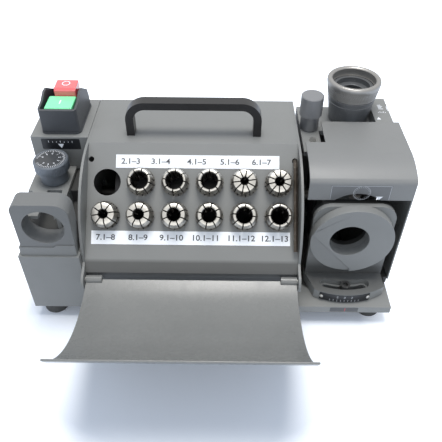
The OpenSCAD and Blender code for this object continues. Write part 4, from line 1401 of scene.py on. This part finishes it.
@dataclass
class LeftStation(Part):
    """The web-thinning station at the left."""

    worn: tuple[Worn, ...] = (
        ("left_lower_box", "left_gear_box", Finishes.BODY, Edge(0.5, 2)),
        ("left_upper_box", "left_switch_box", Finishes.BODY, Edge(0.5, 2)),
        ("web_port_plate", "web_seat_plate", Finishes.SEAT, Edge(0.3, 2)),
        ("web_port_block", "web_bore_block", Finishes.BLOCK, Edge(0.4, 2)),
        ("web_saddle", "web_dial_saddle", Finishes.BODY, Edge(0.3, 2)),
    )
    plain: tuple[Plain, ...] = (
        (Finishes.STEEL, ("dial_spindle",)),
        (Finishes.BOLT, ("web_stop_pin",)),
    )
    dial_x: float = -106.5
    dial_y: float = -10.4
    dial_low: float = 93.3
    rim_low: float = 103.3
    dial_top: float = 112.0
    dial_r: float = 13.0
    neck_r: float = 10.5
    socket_r: float = 4.1
    socket_depth: float = 3.5
    knurls: int = 84
    flute: float = 0.16
    ink: float = 0.03
    face_depth: float = 0.25
    divisions: int = 50
    blank: range = range(34, 38)
    numeral: float = 2.6
    sticker_x: float = -102.0
    sticker_z: float = 113.6
    box_front: float = 6.5

    def detail(self) -> None:
        """Adds the dial, its scale and the sticker."""
        self._dial()
        self._scale()
        self._sticker()

    def _dial(self) -> None:
        """Builds the dial with its fluted rim and its dark face."""
        shop = self.shop
        r, n, socket = self.dial_r, self.neck_r, self.socket_r
        low, rim, top = self.dial_low, self.rim_low, self.dial_top
        sunk, floor = top - self.face_depth, top - self.socket_depth
        outline = [
            (socket, low), (n - 0.6, low), (n, low + 0.6), (n, rim - 0.6), (n + 0.6, rim),
            (r - 0.5, rim + 0.1), (r, rim + 0.7), (r, top - 0.8), (r - 0.7, top), (r - 1.5, top),
            (r - 1.7, sunk), (0, sunk), (0, floor), (socket, floor),
        ]

        def cut(radius: float, angle: float, height: float) -> float:
            """Cuts fine flutes into the rim."""
            fluted = radius > r - 0.01 and math.cos(angle * self.knurls) > 0
            return radius - (self.flute if fluted else 0.0)

        solid = Solid().lathe(outline, self.knurls * 4, cut)
        where = shop.machine.level(self.dial_x, self.dial_y, 0)
        shop.stand_in("web_dial", "web_dial_knob", solid, Finishes.DIAL, where)
        face = Solid().lathe([(0, 0), (r - 1.8, 0), (r - 1.8, 0.04), (0, 0.04)], 96)
        face_at = shop.machine.level(self.dial_x, self.dial_y, sunk + 0.01)
        shop.lay(face, "dial_face", face_at, Finishes.FACE, "web_dial")

    def _scale(self) -> None:
        """Prints the dial's divisions, with a number at every fifth."""
        outer = self.dial_r - 2.1
        marks = Solid()
        for i in range(self.divisions):
            if i in self.blank:
                continue
            numbered = i % 5 == 0
            inner = outer - (2.6 if numbered else 1.5)
            spin = Matrix.Rotation(-TURN * i / self.divisions, 4, "Z")
            marks.prism([(-0.13, inner), (0.13, inner), (0.13, outer), (-0.13, outer)], 0, self.ink, spin)
            if numbered:
                lift = Matrix.Translation((0, self.dial_r - 6.4, 0))
                marks.letters(str(i // 5), self.numeral, self.ink, spin @ lift)
        where = self.shop.machine.level(self.dial_x, self.dial_y, self.dial_top - 0.195)
        self.shop.lay(marks, "dial_scale", where, Finishes.WHITE_INK, "web_dial")

    def _sticker(self) -> None:
        """Adds the black film with its pointer on the upper box's front."""
        shop = self.shop
        film = Solid().prism(rounded(29.5, 9.4, 0.8), 0.0, 0.08)
        where = shop.machine.front(self.sticker_x, self.box_front, self.sticker_z)
        shop.lay(film, "pointer_film", where, Finishes.BLACK_FILM)
        mark = Solid().prism([(0.1, -3.8), (2.3, 0.1), (-2.2, 0.1)], 0.0, self.ink)
        for i in range(7):
            tall = 1.5 if i % 3 == 0 else 0.9
            mark.bar((-9.2 + i * 3.0, 1.4), (-8.8 + i * 3.0, 1.4 + tall), self.ink)
        where = shop.machine.front(self.sticker_x - 0.2, self.box_front - 0.09, self.sticker_z)
        shop.lay(mark, "pointer_mark", where, Finishes.WHITE_INK)


@dataclass
class RightStation(Part):
    """The point-grinding station at the right: hood, swivelling table and its scale."""

    worn: tuple[Worn, ...] = (
        ("right_hood", "wheel_hood", Finishes.HOOD, Edge(0.35, 2, 25.0)),
        ("angle_table", "swivel_table_plate", Finishes.TABLE, Edge(0.45, 2)),
        ("port_plate", "port_bracket", Finishes.BRACKET, Edge(0.5, 2)),
        ("port_disc", "port_ring", Finishes.BODY, Edge(0.5, 2, 20.0)),
    )
    plain: tuple[Plain, ...] = ((Finishes.BOLT, ("table_fasteners",)),)
    pivot: Point = (119.2, -13.4)
    rim_r: float = 55.0
    table_low: float = 18.7
    table_top: float = 27.7
    scale_ends: Point = (248.4, 289.4)
    scale_zero: float = 268.6
    scale_step: float = 2.9
    scale_thick: float = 0.35
    tick: float = 0.007
    ink: float = 0.03
    screw_angles: Point = (249.9, 287.9)
    screw_recess: float = 0.5
    hood_front: float = -41.0
    film_low: float = 100.3
    film_high: float = 113.7
    film_left: float = 98.8
    film_right: float = 141.9
    film_border: float = 0.35
    arch_centre: Point = (119.4, 80.4)
    arch_r: float = 25.7
    emblem: Point = (121.2, 107.0)
    base_front: float = -72.7
    base_label: Point = (117.9, 15.3)

    def detail(self) -> None:
        """Adds the table's scale, the hood's film and the base's label."""
        self._scale()
        self._hood_film()
        self._base_label()

    def _scale(self) -> None:
        """Wraps a black scale with white ticks and numbers round the table's rim."""
        shop, r = self.shop, self.rim_r
        low, high = self.table_low + 0.7, self.table_top - 0.8
        where = shop.machine.level(*self.pivot, 0)
        face = r + self.scale_thick
        outline = [(r + 0.02, low), (face, low), (face, high), (r + 0.02, high)]
        start, end = (math.radians(angle) for angle in self.scale_ends)
        strip = Solid().lathe(outline, 40, sweep=(start, end))
        shop.lay(strip, "angle_scale", where, Finishes.BLACK_FILM, "swivel_table")
        zero, step = math.radians(self.scale_zero), math.radians(self.scale_step)
        back, proud = face + 0.01, face + 0.05
        outline = [(back, low + 0.5), (proud, low + 0.5), (proud, low + 2.6), (back, low + 2.6)]
        marks = Solid()
        for i in range(-4, 5):
            at = zero + i * step
            marks.lathe(outline, 1, sweep=(at - self.tick / 2, at + self.tick / 2))
        for i, text in ((-2, "2"), (0, "0"), (2, "2")):
            marks.letters(text, 3.2, 0.04, self._on_rim(zero + i * step, back, high - 2.2))
        shop.lay(marks, "angle_scale_marks", where, Finishes.PALE_INK, "swivel_table")
        screws = Solid()
        for angle in self.screw_angles:
            stand = self._on_rim(math.radians(angle), r + 0.3, (low + high) / 2)
            self._cross_head(screws, stand)
        shop.lay(screws, "scale_screws", where, Finishes.STEEL, "swivel_table")

    @staticmethod
    def _on_rim(angle: float, radius: float, height: float) -> Matrix:
        """A frame that faces out from the table's rim: X along the rim and Y up."""
        turn = Matrix.Rotation(angle + math.pi / 2, 4, "Z")
        return turn @ Matrix.Translation((0, -radius, height)) @ Matrix.Rotation(math.pi / 2, 4, "X")

    def _cross_head(self, screws: Solid, stand: Matrix) -> None:
        """Adds one domed head with a cross recess.

        Args:
            screws: the solid that gathers the heads.
            stand: the head's frame.
        """
        recess = self.screw_recess
        outline = [
            (0, 0), (1.5, 0), (1.45, 0.5), (1.0, 0.85), (recess, 0.9), (recess, 0.4), (0, 0.4),
        ]

        def cut(radius: float, angle: float, height: float) -> float:
            """Cuts the cross recess."""
            return cross(1.5, 0.4, angle) if radius == recess else radius

        screws.lathe(outline, 48, cut, stand)

    def _hood_film(self) -> None:
        """Adds the grey film on the hood's front, with a plain ring and a pointer."""
        shop, ink, edge = self.shop, self.ink, self.film_border
        low, high, left, right = self.film_low, self.film_high, self.film_left, self.film_right
        half = math.degrees(math.acos((low - self.arch_centre[1]) / self.arch_r))
        arch = arc(self.arch_centre, self.arch_r + 0.2, 90 + half, 90 - half, 16)
        outline = [(left, low), *arch, (right, low), (right, high), (left, high)]
        film = Solid().prism(outline, 0.0, 0.06)
        shop.lay(film, "hood_film", shop.machine.front(0, self.hood_front, 0), Finishes.GREY_FILM)
        where = shop.machine.front(0, self.hood_front - 0.07, 0)
        ring_at = Matrix.Translation((*self.emblem, 0))
        marks = Solid().ring(5.9, 6.2, ink, 64, ring_at)
        for i in range(24):
            spin = ring_at @ Matrix.Rotation(TURN * i / 24, 4, "Z")
            marks.prism([(-0.12, 4.7), (0.12, 4.7), (0.12, 5.6), (-0.12, 5.6)], 0, ink, spin)
        marks.bar((left + edge, high - 2 * edge), (right - edge, high - edge), ink)
        marks.bar((left + edge, low + edge), (left + 2 * edge, high - edge), ink)
        marks.bar((right - 2 * edge, low + edge), (right - edge, high - edge), ink)
        shop.lay(marks, "hood_film_marks", where, Finishes.PALE_INK)
        pointer = Solid().prism([(134.3, 100.8), (136.7, 103.9), (131.7, 103.9)], 0, ink)
        shop.lay(pointer, "hood_pointer", where, Finishes.WHITE_INK)

    def _base_label(self) -> None:
        """Adds the small dark label with its red zero mark on the base's front edge."""
        shop = self.shop
        x, z = self.base_label
        film = Solid().prism(rounded(21.8, 4.8, 0.3), 0.0, 0.08)
        where = shop.machine.front(x, self.base_front, z)
        shop.lay(film, "base_film", where, Finishes.BASE_FILM)
        mark = Solid().bar((-0.35, -1.8), (0.35, 1.8), self.ink)
        where = shop.machine.front(x + 0.7, self.base_front - 0.09, z)
        shop.lay(mark, "base_zero_mark", where, Finishes.RED_INK)


@dataclass
class ChuckStation(Part):
    """The rear chuck seat with the drill chuck, the index block and the feed knob."""

    worn: tuple[Worn, ...] = (
        ("chuck_station", "chuck_seat", Finishes.BODY, Edge(0.4, 2)),
        ("index_block", "index_bar", Finishes.BODY, Edge(0.4, 2)),
    )
    x: float = 123.8
    y: float = 47.0
    top: float = 115.0
    ring_r: float = 20.75
    ring_taper: float = 0.17
    wide: float = 32.5
    knurl_low: float = 22.8
    knurl_high: float = 31.2
    knurl_rows: int = 24
    knurls: int = 96
    knurl_depth: float = 0.28
    marks_at: Point = (144.7, 31.9)
    marks_z: float = 8.42
    ink: float = 0.05

    def detail(self) -> None:
        """Adds the chuck, the knob and the index block's marks."""
        self._chuck()
        self._knob()
        self._index_marks()

    def _chuck(self) -> None:
        """Builds the chuck's body and its knurled ring."""
        shop, r, wide = self.shop, self.ring_r, self.wide
        where = shop.machine.level(self.x, self.y, self.top)
        body = [
            (8.5, -20), (13.5, -20), (14.5, -19), (14.5, 0.2), (15.4, 0.2), (15.8, 0.6), (15.8, 3.0),
            (18.0, 17.0), (17.4, 17.5), (17.4, 18.3), (18.3, 18.8), (r - 2.1, 21.2), (r - 2.5, 21.6),
            (r - 4.8, 21.6), (r - 4.8, 28.4), (r - 5.2, 28.8), (13.0, 28.8), (13.0, 25.0), (8.9, 25.0),
            (8.5, 24.6),
        ]
        shop.stand_in("chuck_body", "chuck_sleeve_body", Solid().lathe(body, 144), Finishes.SLEEVE, where)
        low, high, rows = self.knurl_low, self.knurl_high, self.knurl_rows
        heights = [low + (high - low) * i / rows for i in range(rows + 1)]
        outline = [
            (r - 4.75, 21.9), (r - 2.3, 21.9), (r - 1.7, 22.5),
            *[(r - (wide - z) * self.ring_taper, z) for z in heights],
            (r - 0.15, 31.6), (r, wide), (r, 33.6), (r - 0.25, 34.6), (r - 0.8, 35.3), (r - 1.3, 35.5),
            (r - 2.8, 35.5), (r - 3.5, 35.1), (r - 4.05, 34.4), (r - 4.05, 32.2), (r - 4.05, 29.2),
            (r - 4.75, 29.2),
        ]
        pitch = TURN * r / self.knurls

        def cut(radius: float, angle: float, height: float) -> float:
            """Cuts a diamond knurl into the ring's side.

            Args:
                radius: the outline's radius.
                angle: round the ring, in radians.
                height: above the seat.

            Returns:
                The radius of the cut surface.
            """
            if radius < r - 1.75 or not low < height < high:
                return radius
            across = angle * self.knurls
            along = TURN * height / pitch * 0.6
            groove = max(math.cos(across + along), math.cos(across - along))
            return radius - self.knurl_depth * max(0.0, groove - 0.2)

        ring = Solid().lathe(outline, self.knurls * 6, cut)
        shop.stand_in("chuck_ring", "chuck_knurled_ring", ring, Finishes.RING, where)

    def _knob(self) -> None:
        """Builds the feed knob."""
        shop = self.shop
        x, y, _ = shop.machine.crown("feed_knob")
        outline = [
            (0, -14), (3.6, -14), (4.0, -13.6), (4.0, 0.3), (6.9, 0.3), (7.25, 0.7), (7.25, 11.2),
            (7.6, 11.9), (8.4, 12.2), (8.7, 12.6), (8.7, 28.3), (8.1, 29.0), (0, 29.0),
        ]
        where = shop.machine.level(x, y, self.top)
        shop.stand_in("feed_knob", "feed_knob_turned", Solid().lathe(outline, 96), Finishes.KNOB, where)

    def _index_marks(self) -> None:
        """Adds plain marks to the index block's top."""
        marks = Solid().prism([(-1.7, -1.6), (1.7, -1.6), (0.2, 1.8)], 0, self.ink)
        for i in range(5):
            marks.bar((1.4 + i * 1.4, 8.3), (1.8 + i * 1.4, 9.6 + i % 2), self.ink)
        for i in range(4):
            marks.bar((2.6, 14.0 + i * 1.9), (6.4 - i % 2, 14.7 + i * 1.9), self.ink)
        marks.bar((9.3, 11.6), (9.9, 18.0), self.ink)
        where = self.shop.machine.level(*self.marks_at, self.top + self.marks_z)
        self.shop.lay(marks, "index_marks", where, Finishes.WHITE_INK)


@dataclass
class Drive(Part):
    """The motor, its wheels and what clamps them, inside the covers."""

    plain: tuple[Plain, ...] = (
        (Finishes.MOTOR, ("motor_housing",)),
        (Finishes.ALLOY, ("motor_end_caps",)),
        (Finishes.BASE, ("motor_cradle",)),
        (Finishes.COPPER, ("motor_stator",)),
        (Finishes.OILED, ("motor_rotor", "main_shaft", "shaft_bearings")),
        (Finishes.BOLT, ("wheel_clamps",)),
        (Finishes.BLACK, ("motor_fan",)),
        (Finishes.CAN, ("run_capacitor",)),
        (Finishes.GRIT, ("point_wheel", "web_wheel")),
    )


def main() -> None:
    """Builds the studio and every sub-assembly in order."""
    logging.basicConfig(level=logging.INFO, format="%(message)s")
    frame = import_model()
    bpy.context.scene.view_settings.view_transform = "Standard"
    machine = Machine.read()
    shop = Workshop(frame, machine)
    Studio().build(machine)
    for part in (Body, Rack, Switch, LeftStation, RightStation, ChuckStation, Drive):
        part(shop).build()
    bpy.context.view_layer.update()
    log.info("%d pieces", shop.count)


if __name__ == "__main__":
    main()
